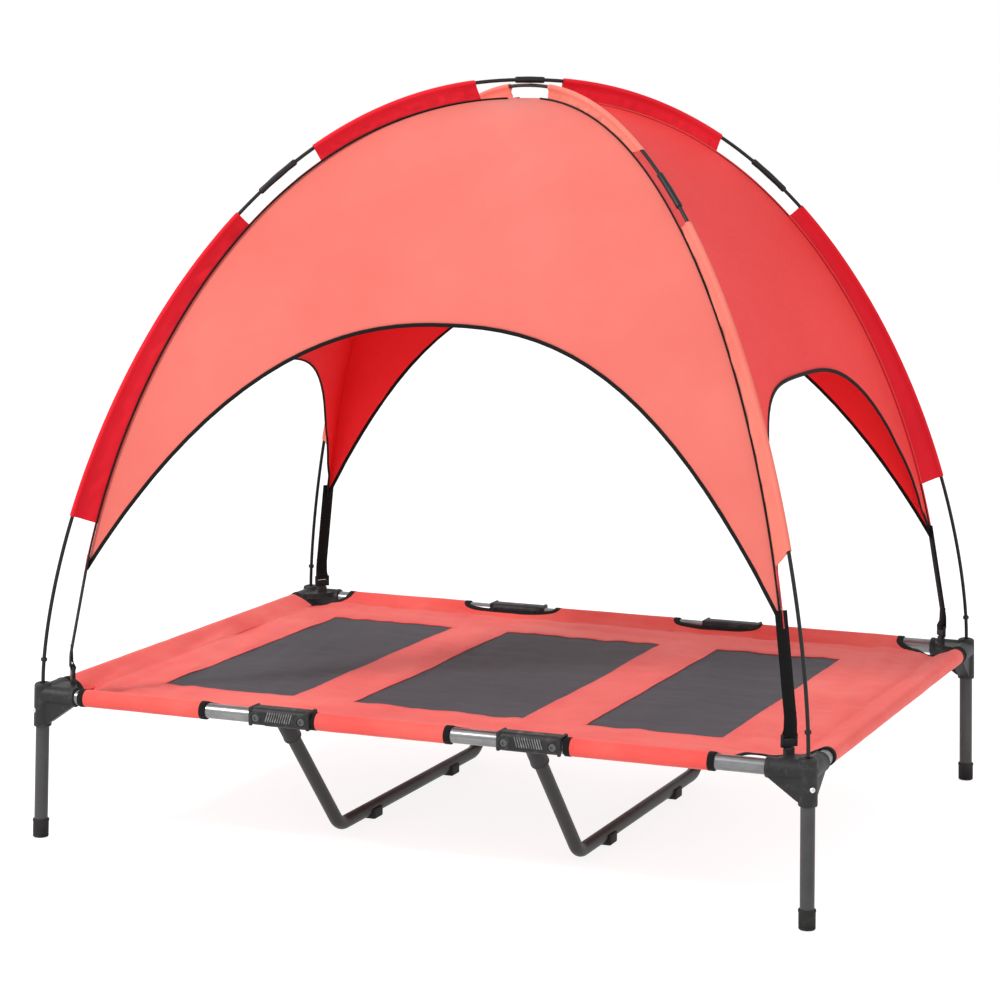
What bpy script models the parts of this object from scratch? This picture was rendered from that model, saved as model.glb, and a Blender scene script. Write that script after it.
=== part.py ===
"""Raised pet cot: a folding tube frame, a laced-on cloth bed and a lift-off dome canopy.

Units are metres, +Z is up, +X runs along the long side and +Y towards the back.
The origin is on the floor at the middle of the cot.  Run it with
blender --background --python part.py, or from Blender's text editor.
"""

from math import acos, cos, hypot, pi, radians, sin, tan

import bmesh
import bpy
from mathutils import Matrix, Vector

# ---- driving sizes of the frame ----
frame_length = 1.170          # between the corner leg axes, along X
frame_width = 0.902           # between the corner leg axes, along Y
rail_height = 0.2155          # axis of every rail above the floor
leg_lean = 0.005              # each corner leg's foot stands this far out, in X and in Y
gap = 0.0003                  # left between pieces that touch
slip = 0.0003                 # radial clearance of a tube in its socket

# ---- tubes ----
rail_radius = 0.011
rail_wall = 0.0012
leg_radius = 0.010
leg_wall = 0.0012
tube_sides = 12
small_sides = 10              # bolts, their holes and the pole sockets

# ---- corner brackets ----
bracket_rise = 0.0179         # top face above the rail axis
bracket_height = 0.0654       # top face to the mouth of the leg socket
column_wall = 0.0032          # leg socket outside the leg
socket_wall = 0.0030          # rail socket outside the rail
socket_reach = 0.057          # rail socket mouth from the leg axis
rail_clear = 0.0093           # rail end from the leg socket's outside
web_radius = 0.050
web_drop = 0.0069             # flat web below the top face
web_thickness = 0.0090
gusset_width = 0.018          # webs under the rail sockets
hook_distance = 0.044         # strap hook from the leg axis, on the bracket's diagonal
hook_width = 0.016
hook_depth = 0.007
hook_rise = 0.0051            # above the top face

# ---- side rail connectors ----
connector_spread = 0.382      # between the two connectors of one side
connector_length = 0.096
connector_wall = 0.0040       # beside the rail
connector_roof = 0.0024       # over the swinging rail's end
connector_floor = 0.0015      # under the rail
connector_chamfer = 0.004
collar_length = 0.006
collar_flare = 0.0010
bolt_offset = 0.036           # each bolt from the connector's middle
boss_wall = 0.0030            # round a bolt head
boss_proud = 0.0020
fixed_rail_past_bolt = 0.013
swing_rail_past_bolt = 0.007
swing_clearance = 0.0006
bolt_radius = 0.0030
bolt_slip = 0.00025
head_radius = 0.0060
head_recess = 0.0030
head_thickness = 0.0022

# ---- middle legs ----
middle_leg_slant = radians(42.9)   # side tubes from the vertical
bar_clearance = 0.0040             # floor bar's underside above the floor
middle_bend = 0.045                # bend radius at the tube's axis
middle_socket_wall = 0.0030
middle_socket_reach = 0.046        # socket mouth from the rail axis, along the leg
middle_leg_start = 0.009           # tube end from the rail axis, along the leg
shoe_spread = 0.300
shoe_length = 0.030
shoe_wall = 0.0035
shoe_grip = 0.0025                 # shoe top above the bar's axis

# ---- feet ----
cap_wall = 0.0017
cap_height = 0.028
cap_floor = 0.0030
cap_chamfer = 0.0015

# ---- bed cloth ----
cloth_thickness = 0.0014
sleeve_slip = 0.0005
cloth_plate = 0.0024
cloth_drop = 0.0030           # plate below the rail axis
cloth_setback = 0.016         # bare cut-outs keep this far inside the rail
cloth_corner_cut = 0.100      # sleeve ends from the leg axis
cloth_rail_gap = 0.170        # opening of the sleeve round a connector
cloth_slide_front = -0.030    # the front sleeves sit this far along X
cloth_slide_back = -0.005
cloth_slide_right = 0.026     # the right end sleeve sits this far along Y
cloth_slide_left = 0.010
cloth_hinge_gap = 0.0055      # each side of a fold line

# ---- canopy poles ----
pole_height = 1.118           # axis of the upper pole at the crown
pole_radius = 0.00275
pole_roundness = 2.16         # how square the arch is across
pole_fullness = 1.586         # how full the arch is towards its top
pole_hole_slip = 0.00165
pole_hole_depth = 0.0330
pole_hole_floor = 0.0019      # between the pole hole and the leg socket
stop_rise = 0.034             # collar above the bracket
stop_length = 0.005
stop_wall = 0.0018
pole_sides = 6
pole_spans = 18               # from a socket to the crown
ferrule_slip = 0.0005
ferrule_wall = 0.00155
ferrule_end_wall = 0.00065
ferrule_length = 0.062
crown_ferrule_length = 0.046
ferrule_rings = 5
ferrule_reach = 0.384         # ferrule middle from the centre, across
crown_gap = 0.0006

# ---- canopy cover ----
seam_inset = 0.0478           # seams inside the poles at bracket level
seam_drop = 0.0275            # seams below the upper pole's axis at the crown
seam_roundness = 2.209
seam_fullness = 1.690
cover_thickness = 0.0016
cover_seam_inset = 0.0030
cover_crown_start = 0.030     # the panels stop this far short of the centre
cover_tip = 0.418             # lower tips above the floor
side_arch_height = 0.774      # front and back arches
end_arch_height = 0.705       # left and right arches
side_arch_fullness = 2.6
end_arch_fullness = 4.2
cover_columns = 14
cover_rows = 8

# ---- corner straps ----
strap_width = 0.020
strap_thickness = 0.0016
strap_drop = 0.0095           # strap top below the canopy's tip
strap_inset = 0.004           # strap top inside the seam
clip_margin = 0.003           # clip beyond each edge of the strap
clip_thickness = 0.0050
clip_height = 0.018
clip_bar = 0.0045

# ---- worked-out sizes and places ----
half_length = frame_length / 2
half_width = frame_width / 2
half_diagonal = hypot(half_length, half_width)
bracket_top = rail_height + bracket_rise
bracket_foot = bracket_top - bracket_height
leg_stop = bracket_top - pole_hole_depth - pole_hole_floor
column_radius = leg_radius + column_wall
socket_radius = rail_radius + socket_wall
rail_inset = column_radius + rail_clear
web_high = bracket_top - web_drop
web_low = web_high - web_thickness
hook_top = bracket_top + hook_rise
connector_half_width = rail_radius + connector_wall
swing_radius = hypot(swing_rail_past_bolt, rail_radius) + swing_clearance
connector_above = swing_radius + connector_roof
connector_below = rail_radius + connector_floor
boss_radius = head_radius + boss_wall
boss_face = connector_half_width + boss_proud
middle_bar_height = leg_radius + bar_clearance
middle_socket_radius = leg_radius + middle_socket_wall
cap_radius = leg_radius + cap_wall
pole_hole_radius = pole_radius + pole_hole_slip
ferrule_bore = pole_radius + ferrule_slip
seam_reach = half_diagonal - seam_inset
seam_height = pole_height - seam_drop
connector_place = connector_spread / 2
pivot_place = connector_place + bolt_offset
fixing_place = connector_place - bolt_offset
sides = ((-1, "left"), (1, "right"))
fronts = ((-1, "front"), (1, "back"))


# ---- materials ----

def material(name, colour, roughness, metallic=0.0):
    look = bpy.data.materials.new(name)
    look.use_nodes = True
    shader = look.node_tree.nodes["Principled BSDF"]
    shader.inputs["Base Color"].default_value = (*colour, 1.0)
    shader.inputs["Roughness"].default_value = roughness
    shader.inputs["Metallic"].default_value = metallic
    return look


def make_materials():
    return {
        "rail": material("satin_steel_tube", (0.33, 0.34, 0.35), 0.38, 0.7),
        "leg": material("dark_coated_tube", (0.075, 0.08, 0.085), 0.45, 0.4),
        "plastic": material("charcoal_plastic", (0.035, 0.037, 0.042), 0.5),
        "rubber": material("black_foot", (0.012, 0.012, 0.013), 0.7),
        "bolt": material("plated_bolt", (0.45, 0.45, 0.46), 0.35, 0.9),
        "cloth": material("red_bed_cloth", (0.72, 0.06, 0.06), 0.8),
        "cover": material("red_canopy_cloth", (0.85, 0.05, 0.06), 0.75),
        "pole": material("black_pole", (0.012, 0.012, 0.014), 0.4),
        "strap": material("black_webbing", (0.010, 0.010, 0.012), 0.85),
    }


# ---- mesh helpers ----

def as_object(name, mesh, look):
    thing = bpy.data.objects.new(name, mesh)
    bpy.context.scene.collection.objects.link(thing)
    if look:
        mesh.materials.append(look)
    return thing


def finished(name, bm, look, sharp=30):
    bmesh.ops.recalc_face_normals(bm, faces=bm.faces)
    mesh = bpy.data.meshes.new(name)
    bm.to_mesh(mesh)
    bm.free()
    mesh.shade_smooth()
    mesh.set_sharp_from_angle(angle=radians(sharp))
    return as_object(name, mesh, look)


def placed(bm, matrix):
    bmesh.ops.transform(bm, matrix=matrix, verts=bm.verts)


def prism(outline, low, high, matrix=Matrix()):
    """An outline in the XY plane, raised from low to high and then placed."""
    bm = bmesh.new()
    face = bm.faces.new([bm.verts.new((x, y, low)) for x, y in outline])
    raised = bmesh.ops.extrude_face_region(bm, geom=[face])
    new = [item for item in raised["geom"] if isinstance(item, bmesh.types.BMVert)]
    bmesh.ops.translate(bm, vec=(0, 0, high - low), verts=new)
    placed(bm, matrix)
    bmesh.ops.recalc_face_normals(bm, faces=bm.faces)
    return bm


def block(low, high):
    (x0, y0, z0), (x1, y1, z1) = low, high
    return prism([(x0, y0), (x1, y0), (x1, y1), (x0, y1)], z0, z1)


def frame_along(direction, upright):
    """Two directions square to a path: one in its plane, one out of it."""
    out = Vector(upright).normalized()
    across = out.cross(direction).normalized()
    return across, out


def ring(bm, centre, across, out, radius, count):
    return [bm.verts.new(centre + radius * (cos(2 * pi * i / count) * across
                                            + sin(2 * pi * i / count) * out))
            for i in range(count)]


def bridge(bm, first, second):
    count = len(first)
    for i in range(count):
        j = (i + 1) % count
        bm.faces.new((first[i], first[j], second[j], second[i]))


def sweep(path, outer, inner=None, upright=(0, 1, 0), count=tube_sides, level=False):
    """A bar, or a tube where inner is given, along a path in the plane square to upright.

    outer and inner are one radius, or one for each point.  level keeps every ring
    flat to the floor, for legs that lean.
    """
    points = [Vector(point) for point in path]
    total = len(points)
    outer = outer if isinstance(outer, (list, tuple)) else [outer] * total
    bm = bmesh.new()
    shells = []
    for radii in (outer, inner):
        if radii is None:
            continue
        radii = radii if isinstance(radii, (list, tuple)) else [radii] * total
        rings = []
        for i, point in enumerate(points):
            before = points[max(i - 1, 0)]
            after = points[min(i + 1, total - 1)]
            direction = Vector((0, 0, 1)) if level else (after - before).normalized()
            across, out = frame_along(direction, upright)
            rings.append(ring(bm, point, across, out, radii[i], count))
        for first, second in zip(rings, rings[1:]):
            bridge(bm, first, second)
        shells.append(rings)
    if inner is None:
        bm.faces.new(shells[0][0])
        bm.faces.new(shells[0][-1])
    else:
        bridge(bm, shells[0][0], shells[1][0])
        bridge(bm, shells[0][-1], shells[1][-1])
    bmesh.ops.recalc_face_normals(bm, faces=bm.faces)
    return bm


def rod(start, end, radius, upright=(0, 0, 1), count=tube_sides):
    return sweep([start, end], radius, None, upright, count)


def combined(bm, others, operation):
    """One mesh joined to, or cut by, others with exact Booleans."""
    steps = bm
    for other in others:
        base = as_object("work_base", bpy.data.meshes.new("work_base"), None)
        tool = as_object("work_tool", bpy.data.meshes.new("work_tool"), None)
        steps.to_mesh(base.data)
        steps.free()
        other.to_mesh(tool.data)
        other.free()
        change = base.modifiers.new("change", "BOOLEAN")
        change.operation = operation
        change.solver = "EXACT"
        change.object = tool
        graph = bpy.context.evaluated_depsgraph_get()
        result = bpy.data.meshes.new_from_object(base.evaluated_get(graph))
        steps = bmesh.new()
        steps.from_mesh(result)
        bpy.data.objects.remove(base)
        bpy.data.objects.remove(tool)
        bpy.data.meshes.remove(result)
    return steps


def joined(bm, others):
    return combined(bm, others, "UNION")


def cut(bm, others):
    return combined(bm, others, "DIFFERENCE")


def to_corner(side, front):
    """Bracket space (inward along X, inward along Y, up) to its place at one corner."""
    place = Matrix.Translation((side * half_length, front * half_width, 0))
    return place @ Matrix.Diagonal((-side, -front, 1, 1))


def to_connector(side, front):
    """Connector space (outward along X, inward along Y, up from the rail) to its place."""
    place = Matrix.Translation((side * connector_place, front * half_width, rail_height))
    return place @ Matrix.Diagonal((side, -front, 1, 1))


# ---- corner legs, caps and brackets ----

def leg_axis(height):
    """Leg axis in bracket space: it leans outwards from the rail level down."""
    lean = leg_lean * (rail_height - height) / rail_height
    return Vector((-lean, -lean, height))


def leg_tube():
    ends = [leg_axis(cap_floor + gap), leg_axis(leg_stop - gap)]
    return sweep(ends, leg_radius, leg_radius - leg_wall, level=True)


def foot_cap():
    levels = [0, cap_chamfer, cap_height]
    radii = [cap_radius - cap_chamfer, cap_radius, cap_radius]
    body = sweep([leg_axis(z) for z in levels], radii, level=True)
    well = sweep([leg_axis(cap_floor), leg_axis(cap_height + 0.01)], leg_radius + slip, level=True)
    return cut(body, [well])


def gusset():
    """Side view of the web under a rail socket, as (distance, height)."""
    low = bracket_foot + 0.0006
    shoulder = rail_height - socket_radius + 0.001
    return [(0.001, low), (column_radius - 0.001, low), (socket_reach - 0.004, shoulder),
            (socket_reach - 0.004, rail_height), (0.001, rail_height)]


def bracket():
    crown = 0.0012
    levels = [bracket_foot, bracket_top - crown, bracket_top]
    column = sweep([leg_axis(z) for z in levels],
                   [column_radius, column_radius, column_radius - crown], level=True)
    rail_x = rod((0.001, 0, rail_height), (socket_reach, 0, rail_height), socket_radius)
    rail_y = rod((0, 0.001, rail_height), (0, socket_reach, rail_height), socket_radius)
    upright_x = Matrix(((1, 0, 0, 0), (0, 0, -1, 0), (0, 1, 0, 0), (0, 0, 0, 1)))
    upright_y = Matrix(((0, 0, 1, 0), (1, 0, 0, 0), (0, 1, 0, 0), (0, 0, 0, 1)))
    web_x = prism(gusset(), -gusset_width / 2, gusset_width / 2, upright_x)
    web_y = prism(gusset(), -gusset_width / 2, gusset_width / 2, upright_y)
    arc = [(web_radius * cos(i * pi / 16), web_radius * sin(i * pi / 16)) for i in range(9)]
    floor_plate = prism([(0, 0)] + arc, web_low, web_high)
    hook = block((-hook_width / 2, -hook_depth / 2, web_high - 0.002),
                 (hook_width / 2, hook_depth / 2, hook_top))
    inward = Vector((half_length, half_width, 0)) / half_diagonal
    across = Vector((inward.y, -inward.x, 0))
    turn = Matrix((across, inward, (0, 0, 1))).transposed().to_4x4()
    placed(hook, Matrix.Translation(inward * hook_distance) @ turn)
    solid = joined(column, [rail_x, rail_y, web_x, web_y, floor_plate, hook])
    leg_bore = sweep([leg_axis(bracket_foot - 0.01), leg_axis(leg_stop)],
                     leg_radius + slip, level=True)
    bore_x = rod((rail_inset - gap, 0, rail_height), (socket_reach + 0.01, 0, rail_height),
                 rail_radius + slip)
    bore_y = rod((0, rail_inset - gap, rail_height), (0, socket_reach + 0.01, rail_height),
                 rail_radius + slip)
    pole_hole = rod((0, 0, bracket_top - pole_hole_depth), (0, 0, bracket_top + 0.01),
                    pole_hole_radius, (0, 1, 0), small_sides)
    return cut(solid, [leg_bore, bore_x, bore_y, pole_hole])


def build_corners(looks):
    pieces = (("bracket", bracket, "plastic"), ("leg", leg_tube, "leg"),
              ("foot_cap", foot_cap, "rubber"))
    for side, side_name in sides:
        for front, front_name in fronts:
            for piece, make, look in pieces:
                bm = make()
                placed(bm, to_corner(side, front))
                finished(f"{piece}_{front_name}_{side_name}", bm, looks[look])


# ---- rails ----

def rail_tube(start, end, upright, bolt_places=()):
    """A straight rail with cross holes along Y at the bolts."""
    bm = sweep([start, end], rail_radius, rail_radius - rail_wall, upright)
    reach = rail_radius + 0.004
    holes = [rod((x, start[1] - reach, rail_height), (x, start[1] + reach, rail_height),
                 bolt_radius + bolt_slip, (0, 0, 1), small_sides) for x in bolt_places]
    return cut(bm, holes)


def build_rails(looks):
    middle_end = fixing_place + fixed_rail_past_bolt
    outer_end = half_length - rail_inset
    for front, front_name in fronts:
        y = front * half_width
        bm = rail_tube((-middle_end, y, rail_height), (middle_end, y, rail_height), (0, 0, 1),
                       (-fixing_place, fixing_place))
        finished(f"middle_rail_{front_name}", bm, looks["rail"])
        for side, side_name in sides:
            inner_end = pivot_place - swing_rail_past_bolt
            bm = rail_tube((side * inner_end, y, rail_height), (side * outer_end, y, rail_height),
                           (0, 0, 1), (side * pivot_place,))
            finished(f"side_rail_{front_name}_{side_name}", bm, looks["rail"])
    for side, side_name in sides:
        reach = half_width - rail_inset
        x = side * half_length
        bm = rail_tube((x, -reach, rail_height), (x, reach, rail_height), (0, 0, 1))
        finished(f"end_rail_{side_name}", bm, looks["rail"])


# ---- connectors and bolts ----

def middle_leg_direction():
    """Down and inwards, in connector space."""
    return Vector((0, sin(middle_leg_slant), -cos(middle_leg_slant)))


def connector_section(half, above, below, chamfer):
    return [(-half + chamfer, above), (-half, above - chamfer), (-half, -below + chamfer),
            (-half + chamfer, -below), (half - chamfer, -below), (half, -below + chamfer),
            (half, above - chamfer), (half - chamfer, above)]


def connector():
    lengthways = Matrix(((0, 0, 1, 0), (1, 0, 0, 0), (0, 1, 0, 0), (0, 0, 0, 1)))
    half = connector_length / 2
    beyond = 0.01
    body = prism(connector_section(connector_half_width, connector_above, connector_below,
                                   connector_chamfer), -half, half, lengthways)
    extras = []
    for end in (-1, 1):
        low, high = sorted((end * half, end * (half - collar_length)))
        section = connector_section(connector_half_width + collar_flare,
                                    connector_above + collar_flare, connector_below,
                                    connector_chamfer)
        extras.append(prism(section, low, high, lengthways))
        extras.append(rod((end * bolt_offset, -boss_face, 0), (end * bolt_offset, boss_face, 0),
                          boss_radius))
    way = middle_leg_direction()
    extras.append(rod(way * 0.002, way * middle_socket_reach, middle_socket_radius, (1, 0, 0)))
    solid = joined(body, extras)

    fixed_stop = bolt_offset - fixed_rail_past_bolt - gap
    channel = rail_radius + slip + gap
    cuts = [rod((-fixed_stop, 0, 0), (-half - beyond, 0, 0), rail_radius + slip)]
    cuts.append(block((bolt_offset - swing_radius, -channel, -connector_below - beyond),
                      (half + beyond, channel, swing_radius)))
    cuts.append(rod(way * (middle_leg_start - gap), way * (middle_socket_reach + beyond),
                    leg_radius + slip, (1, 0, 0)))
    for end in (-1, 1):
        x = end * bolt_offset
        cuts.append(rod((x, -boss_face - beyond, 0), (x, boss_face + beyond, 0),
                        bolt_radius + bolt_slip, (0, 0, 1), small_sides))
        for outward in (-1, 1):
            cuts.append(rod((x, outward * (boss_face - head_recess), 0),
                            (x, outward * (boss_face + beyond), 0), head_radius + slip,
                            (0, 0, 1), small_sides))
    return cut(solid, cuts)


def bolt():
    """Along Y with its middle at the origin: a shank and two low round heads."""
    seat = boss_face - head_recess + gap
    top = seat + head_thickness
    path = [(0, y, 0) for y in (-top, -seat, -seat + gap, seat - gap, seat, top)]
    radii = [head_radius, head_radius, bolt_radius, bolt_radius, head_radius, head_radius]
    return sweep(path, radii, None, (0, 0, 1), small_sides)


def build_connectors(looks):
    for side, side_name in sides:
        for front, front_name in fronts:
            bm = connector()
            placed(bm, to_connector(side, front))
            finished(f"connector_{front_name}_{side_name}", bm, looks["plastic"])
            for x, kind in ((pivot_place, "pivot_bolt"), (fixing_place, "fixing_bolt")):
                bm = bolt()
                placed(bm, Matrix.Translation((side * x, front * half_width, rail_height)))
                finished(f"{kind}_{front_name}_{side_name}", bm, looks["bolt"])


# ---- middle legs ----

def middle_leg_path():
    """From one connector down to the floor bar and up to the other, as (y, z) points."""
    drop = rail_height - middle_bar_height
    corner = half_width - drop * tan(middle_leg_slant)
    turn = pi / 2 - middle_leg_slant
    setback = middle_bend * tan(turn / 2)
    start = (half_width - middle_leg_start * sin(middle_leg_slant),
             rail_height - middle_leg_start * cos(middle_leg_slant))
    centre_y = corner - setback
    centre_z = middle_bar_height + middle_bend
    bend = [(centre_y + middle_bend * sin(turn * i / 4), centre_z - middle_bend * cos(turn * i / 4))
            for i in range(5)]
    right = [start] + bend[::-1]
    return [(-y, z) for y, z in right] + right[::-1]


def shoe():
    """A low foot clipped under the floor bar, square to X, at the origin."""
    reach = leg_radius + shoe_wall
    body = block((-reach, -shoe_length / 2, 0),
                 (reach, shoe_length / 2, middle_bar_height + shoe_grip))
    bore = rod((0, -shoe_length, middle_bar_height), (0, shoe_length, middle_bar_height),
               leg_radius + slip)
    return cut(body, [bore])


def build_middle_legs(looks):
    for side, side_name in sides:
        x = side * connector_place
        path = [(x, y, z) for y, z in middle_leg_path()]
        bm = sweep(path, leg_radius, leg_radius - leg_wall, (1, 0, 0))
        finished(f"middle_leg_{side_name}", bm, looks["leg"])
        for front, front_name in fronts:
            bm = shoe()
            placed(bm, Matrix.Translation((x, front * shoe_spread / 2, 0)))
            finished(f"middle_shoe_{front_name}_{side_name}", bm, looks["rubber"])


# ---- bed cloth ----

def sleeve_spans():
    """Where each cloth section grips its rails: (start, end) along the rail."""
    corner = half_length - cloth_corner_cut
    spans = {}
    for name, slide in (("front", cloth_slide_front), ("back", cloth_slide_back)):
        inner = connector_place - cloth_rail_gap / 2
        outer = connector_place + cloth_rail_gap / 2
        spans["middle", name] = (-inner + slide, inner + slide)
        spans["left", name] = (-corner + slide, -outer + slide)
        spans["right", name] = (outer + slide, corner + slide)
    reach = half_width - cloth_corner_cut
    spans["left", "end"] = (-reach + cloth_slide_left, reach + cloth_slide_left)
    spans["right", "end"] = (-reach + cloth_slide_right, reach + cloth_slide_right)
    return spans


def cloth_outline(section, spans):
    """Outline of a cloth section, with tongues that reach the sleeves."""
    tongue = rail_radius + sleeve_slip + cloth_thickness / 2
    near = half_width - rail_radius - cloth_setback
    far = half_width - tongue
    f0, f1 = spans[section, "front"]
    b0, b1 = spans[section, "back"]
    if section == "middle":
        edge = pivot_place - cloth_hinge_gap
        return [(-edge, -near), (f0, -near), (f0, -far), (f1, -far), (f1, -near), (edge, -near),
                (edge, near), (b1, near), (b1, far), (b0, far), (b0, near), (-edge, near)]
    side = -1 if section == "left" else 1
    if side < 0:
        f0, f1 = -f1, -f0
        b0, b1 = -b1, -b0
    e0, e1 = spans[section, "end"]
    edge = pivot_place + cloth_hinge_gap
    end_near = half_length - rail_radius - cloth_setback
    end_far = half_length - tongue
    # where the sleeve starts before the fold line, the cloth steps out from the sleeve itself
    front_start = max(f0, edge)
    back_start = max(b0, edge)
    shape = [(edge, -near), (front_start, -near), (front_start, -far), (f1, -far), (f1, -near),
             (end_near, e0), (end_far, e0), (end_far, e1), (end_near, e1),
             (b1, near), (b1, far), (back_start, far), (back_start, near), (edge, near)]
    tidy = [point for i, point in enumerate(shape) if point != shape[i - 1]]
    return [(side * x, y) for x, y in tidy]


def build_cloth(looks):
    spans = sleeve_spans()
    inner = rail_radius + sleeve_slip
    outer = inner + cloth_thickness
    top = rail_height - cloth_drop + cloth_plate / 2
    for section in ("left", "middle", "right"):
        plate = prism(cloth_outline(section, spans), top - cloth_plate, top)
        sleeves = []
        bores = []
        for name in ("front", "back"):
            y = half_width if name == "back" else -half_width
            start, end = spans[section, name]
            sleeves.append(rod((start, y, rail_height), (end, y, rail_height), outer))
            bores.append(rod((start - 0.01, y, rail_height), (end + 0.01, y, rail_height), inner))
        if section != "middle":
            x = half_length if section == "right" else -half_length
            start, end = spans[section, "end"]
            sleeves.append(rod((x, start, rail_height), (x, end, rail_height), outer))
            bores.append(rod((x, start - 0.01, rail_height), (x, end + 0.01, rail_height), inner))
        bm = cut(joined(plate, sleeves), bores)
        finished(f"bed_cloth_{section}", bm, looks["cloth"])


# ---- canopy poles and ferrules ----

def arch_point(reach, base, top, roundness, fullness, turn):
    """Distance from the centre and height on a superellipse arch, turn from 0 to pi/2."""
    return (reach * cos(turn) ** (2 / roundness),
            base + (top - base) * sin(turn) ** (2 / fullness))


def pole_point(turn, top):
    return arch_point(half_diagonal, bracket_top, top, pole_roundness, pole_fullness, turn)


def diagonal(front):
    """Unit direction of a pole's plane: it runs to the right end at the given front or back."""
    return Vector((half_length, front * half_width, 0)) / half_diagonal


def walk(turn, distance, top):
    """The turn that lies a distance further up the pole, or further down where it is negative."""
    step = 0.0005 if distance > 0 else -0.0005
    here = Vector(pole_point(turn, top))
    left = abs(distance)
    while left > 0:
        turn += step
        there = Vector(pole_point(turn, top))
        left -= (there - here).length
        here = there
    return turn


def ferrule_turns(top):
    centre = acos((ferrule_reach / half_diagonal) ** (pole_roundness / 2))
    spread = ferrule_length / (ferrule_rings - 1)
    places = [(i - (ferrule_rings - 1) / 2) * spread for i in range(ferrule_rings)]
    return [walk(centre, place, top) if place else centre for place in places]


def crown_turns(top):
    """Rings of the crown ferrule on one side, from its end up to the crown."""
    spread = crown_ferrule_length / (ferrule_rings - 1)
    count = (ferrule_rings - 1) // 2
    return [walk(pi / 2, -spread * (count - i), top) for i in range(count)] + [pi / 2]


def stop_turns(top):
    """Four rings that raise the collar above the bracket."""
    turns = []
    for shift in (-0.5, -0.3, 0.3, 0.5):
        rise = (stop_rise + shift * stop_length) / (top - bracket_top)
        turns.append(pi / 2 - acos(rise ** (pole_fullness / 2)))
    return turns


def pole_rings(top):
    """(turn, radius) from the socket to the crown, with a ring at each ring of the ferrules."""
    stop = stop_turns(top)
    ferrule = ferrule_turns(top)
    crown = crown_turns(top)
    clear = 0.02
    plain = [pi / 2 * i / pole_spans for i in range(1, pole_spans)]
    plain = [turn for turn in plain if stop[-1] + clear < turn < crown[0] - clear
             and not ferrule[0] - clear < turn < ferrule[-1] + clear]
    rings = [(turn, pole_radius) for turn in [0.0, stop[0]] + plain + ferrule + crown]
    rings += [(turn, pole_radius + stop_wall) for turn in stop[1:3]] + [(stop[3], pole_radius)]
    return sorted(rings)


def on_pole(front, turn, top, side):
    reach, height = pole_point(turn, top) if turn < pi / 2 else (0.0, top)
    return diagonal(front) * reach * side + Vector((0, 0, height))


def pole(front, top):
    """One pole from its left socket over the crown to its right socket."""
    rings = pole_rings(top)
    drop = Vector((0, 0, pole_hole_depth - gap))
    left = [on_pole(front, turn, top, -1) for turn, _ in rings]
    right = [on_pole(front, turn, top, 1) for turn, _ in rings[-2::-1]]
    radii = [radius for _, radius in rings]
    radii = [pole_radius] + radii + radii[-2::-1] + [pole_radius]
    path = [left[0] - drop] + left + right + [right[-1] - drop]
    return sweep(path, radii, None, diagonal(front).cross(Vector((0, 0, 1))), pole_sides)


def ferrule(path, front):
    """A sleeve round the pole, thickest at its middle."""
    shape = []
    for i in range(ferrule_rings):
        swell = sin(pi * i / (ferrule_rings - 1)) ** 0.5
        shape.append(ferrule_bore + ferrule_end_wall + (ferrule_wall - ferrule_end_wall) * swell)
    return sweep(path, shape, ferrule_bore, diagonal(front).cross(Vector((0, 0, 1))), pole_sides)


def build_poles(looks):
    lower_top = pole_height - pole_radius - ferrule_bore - ferrule_wall - crown_gap
    for front, top, name in ((1, pole_height, "upper"), (-1, lower_top, "lower")):
        finished(f"canopy_pole_{name}", pole(front, top), looks["pole"])
        for side, side_name in sides:
            path = [on_pole(front, turn, top, side) for turn in ferrule_turns(top)]
            finished(f"pole_ferrule_{name}_{side_name}", ferrule(path, front), looks["pole"])
    turns = crown_turns(pole_height)
    path = [on_pole(1, turn, pole_height, -1) for turn in turns]
    path += [on_pole(1, turn, pole_height, 1) for turn in turns[-2::-1]]
    finished("pole_ferrule_crown", ferrule(path, 1), looks["pole"])


# ---- canopy cover ----

def seam_point(turn):
    return arch_point(seam_reach, bracket_top, seam_height, seam_roundness, seam_fullness, turn)


def opening_height(share, top, fullness):
    """Height of an arched opening at a share of its half width."""
    return cover_tip + (top - cover_tip) * (1 - min(1, abs(share)) ** fullness)


def lowest_turn(column, top, fullness):
    """How far down the seam a column of the panel runs before it meets its opening."""
    tip_reach = seam_point(tip_turn())[0]
    low, high = tip_turn(), pi / 2
    for _ in range(40):
        turn = (low + high) / 2
        reach, height = seam_point(turn)
        if height > opening_height(column * reach / tip_reach, top, fullness):
            high = turn
        else:
            low = turn
    return high


def tip_turn():
    share = (cover_tip - bracket_top) / (seam_height - bracket_top)
    return pi / 2 - acos(share ** (seam_fullness / 2))


def cover_panel(facing, sideways, across_share, out_share, top, fullness):
    """One quarter of the cover, from the crown down to its arched opening.

    facing is the panel's outward direction and sideways the direction along it.
    """
    bm = bmesh.new()
    crown_turn = acos((cover_crown_start / seam_reach) ** (seam_roundness / 2))
    grid = []
    for i in range(cover_columns + 1):
        column = -cos(pi * i / cover_columns)
        low = lowest_turn(column, top, fullness)
        line = []
        for j in range(cover_rows + 1):
            turn = crown_turn + (low - crown_turn) * j / cover_rows
            reach, height = seam_point(turn)
            half = across_share * reach - cover_seam_inset
            line.append(bm.verts.new(facing * out_share * reach + sideways * column * half
                                     + Vector((0, 0, height))))
        grid.append(line)
    for first, second in zip(grid, grid[1:]):
        bridge_lines(bm, first, second)
    bm.normal_update()
    outward = sum(face.normal.dot(facing) for face in bm.faces)
    if outward < 0:
        bmesh.ops.reverse_faces(bm, faces=bm.faces)
    return bm


def bridge_lines(bm, first, second):
    for a, b, c, d in zip(first, first[1:], second[1:], second):
        bm.faces.new((a, b, c, d))


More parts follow.
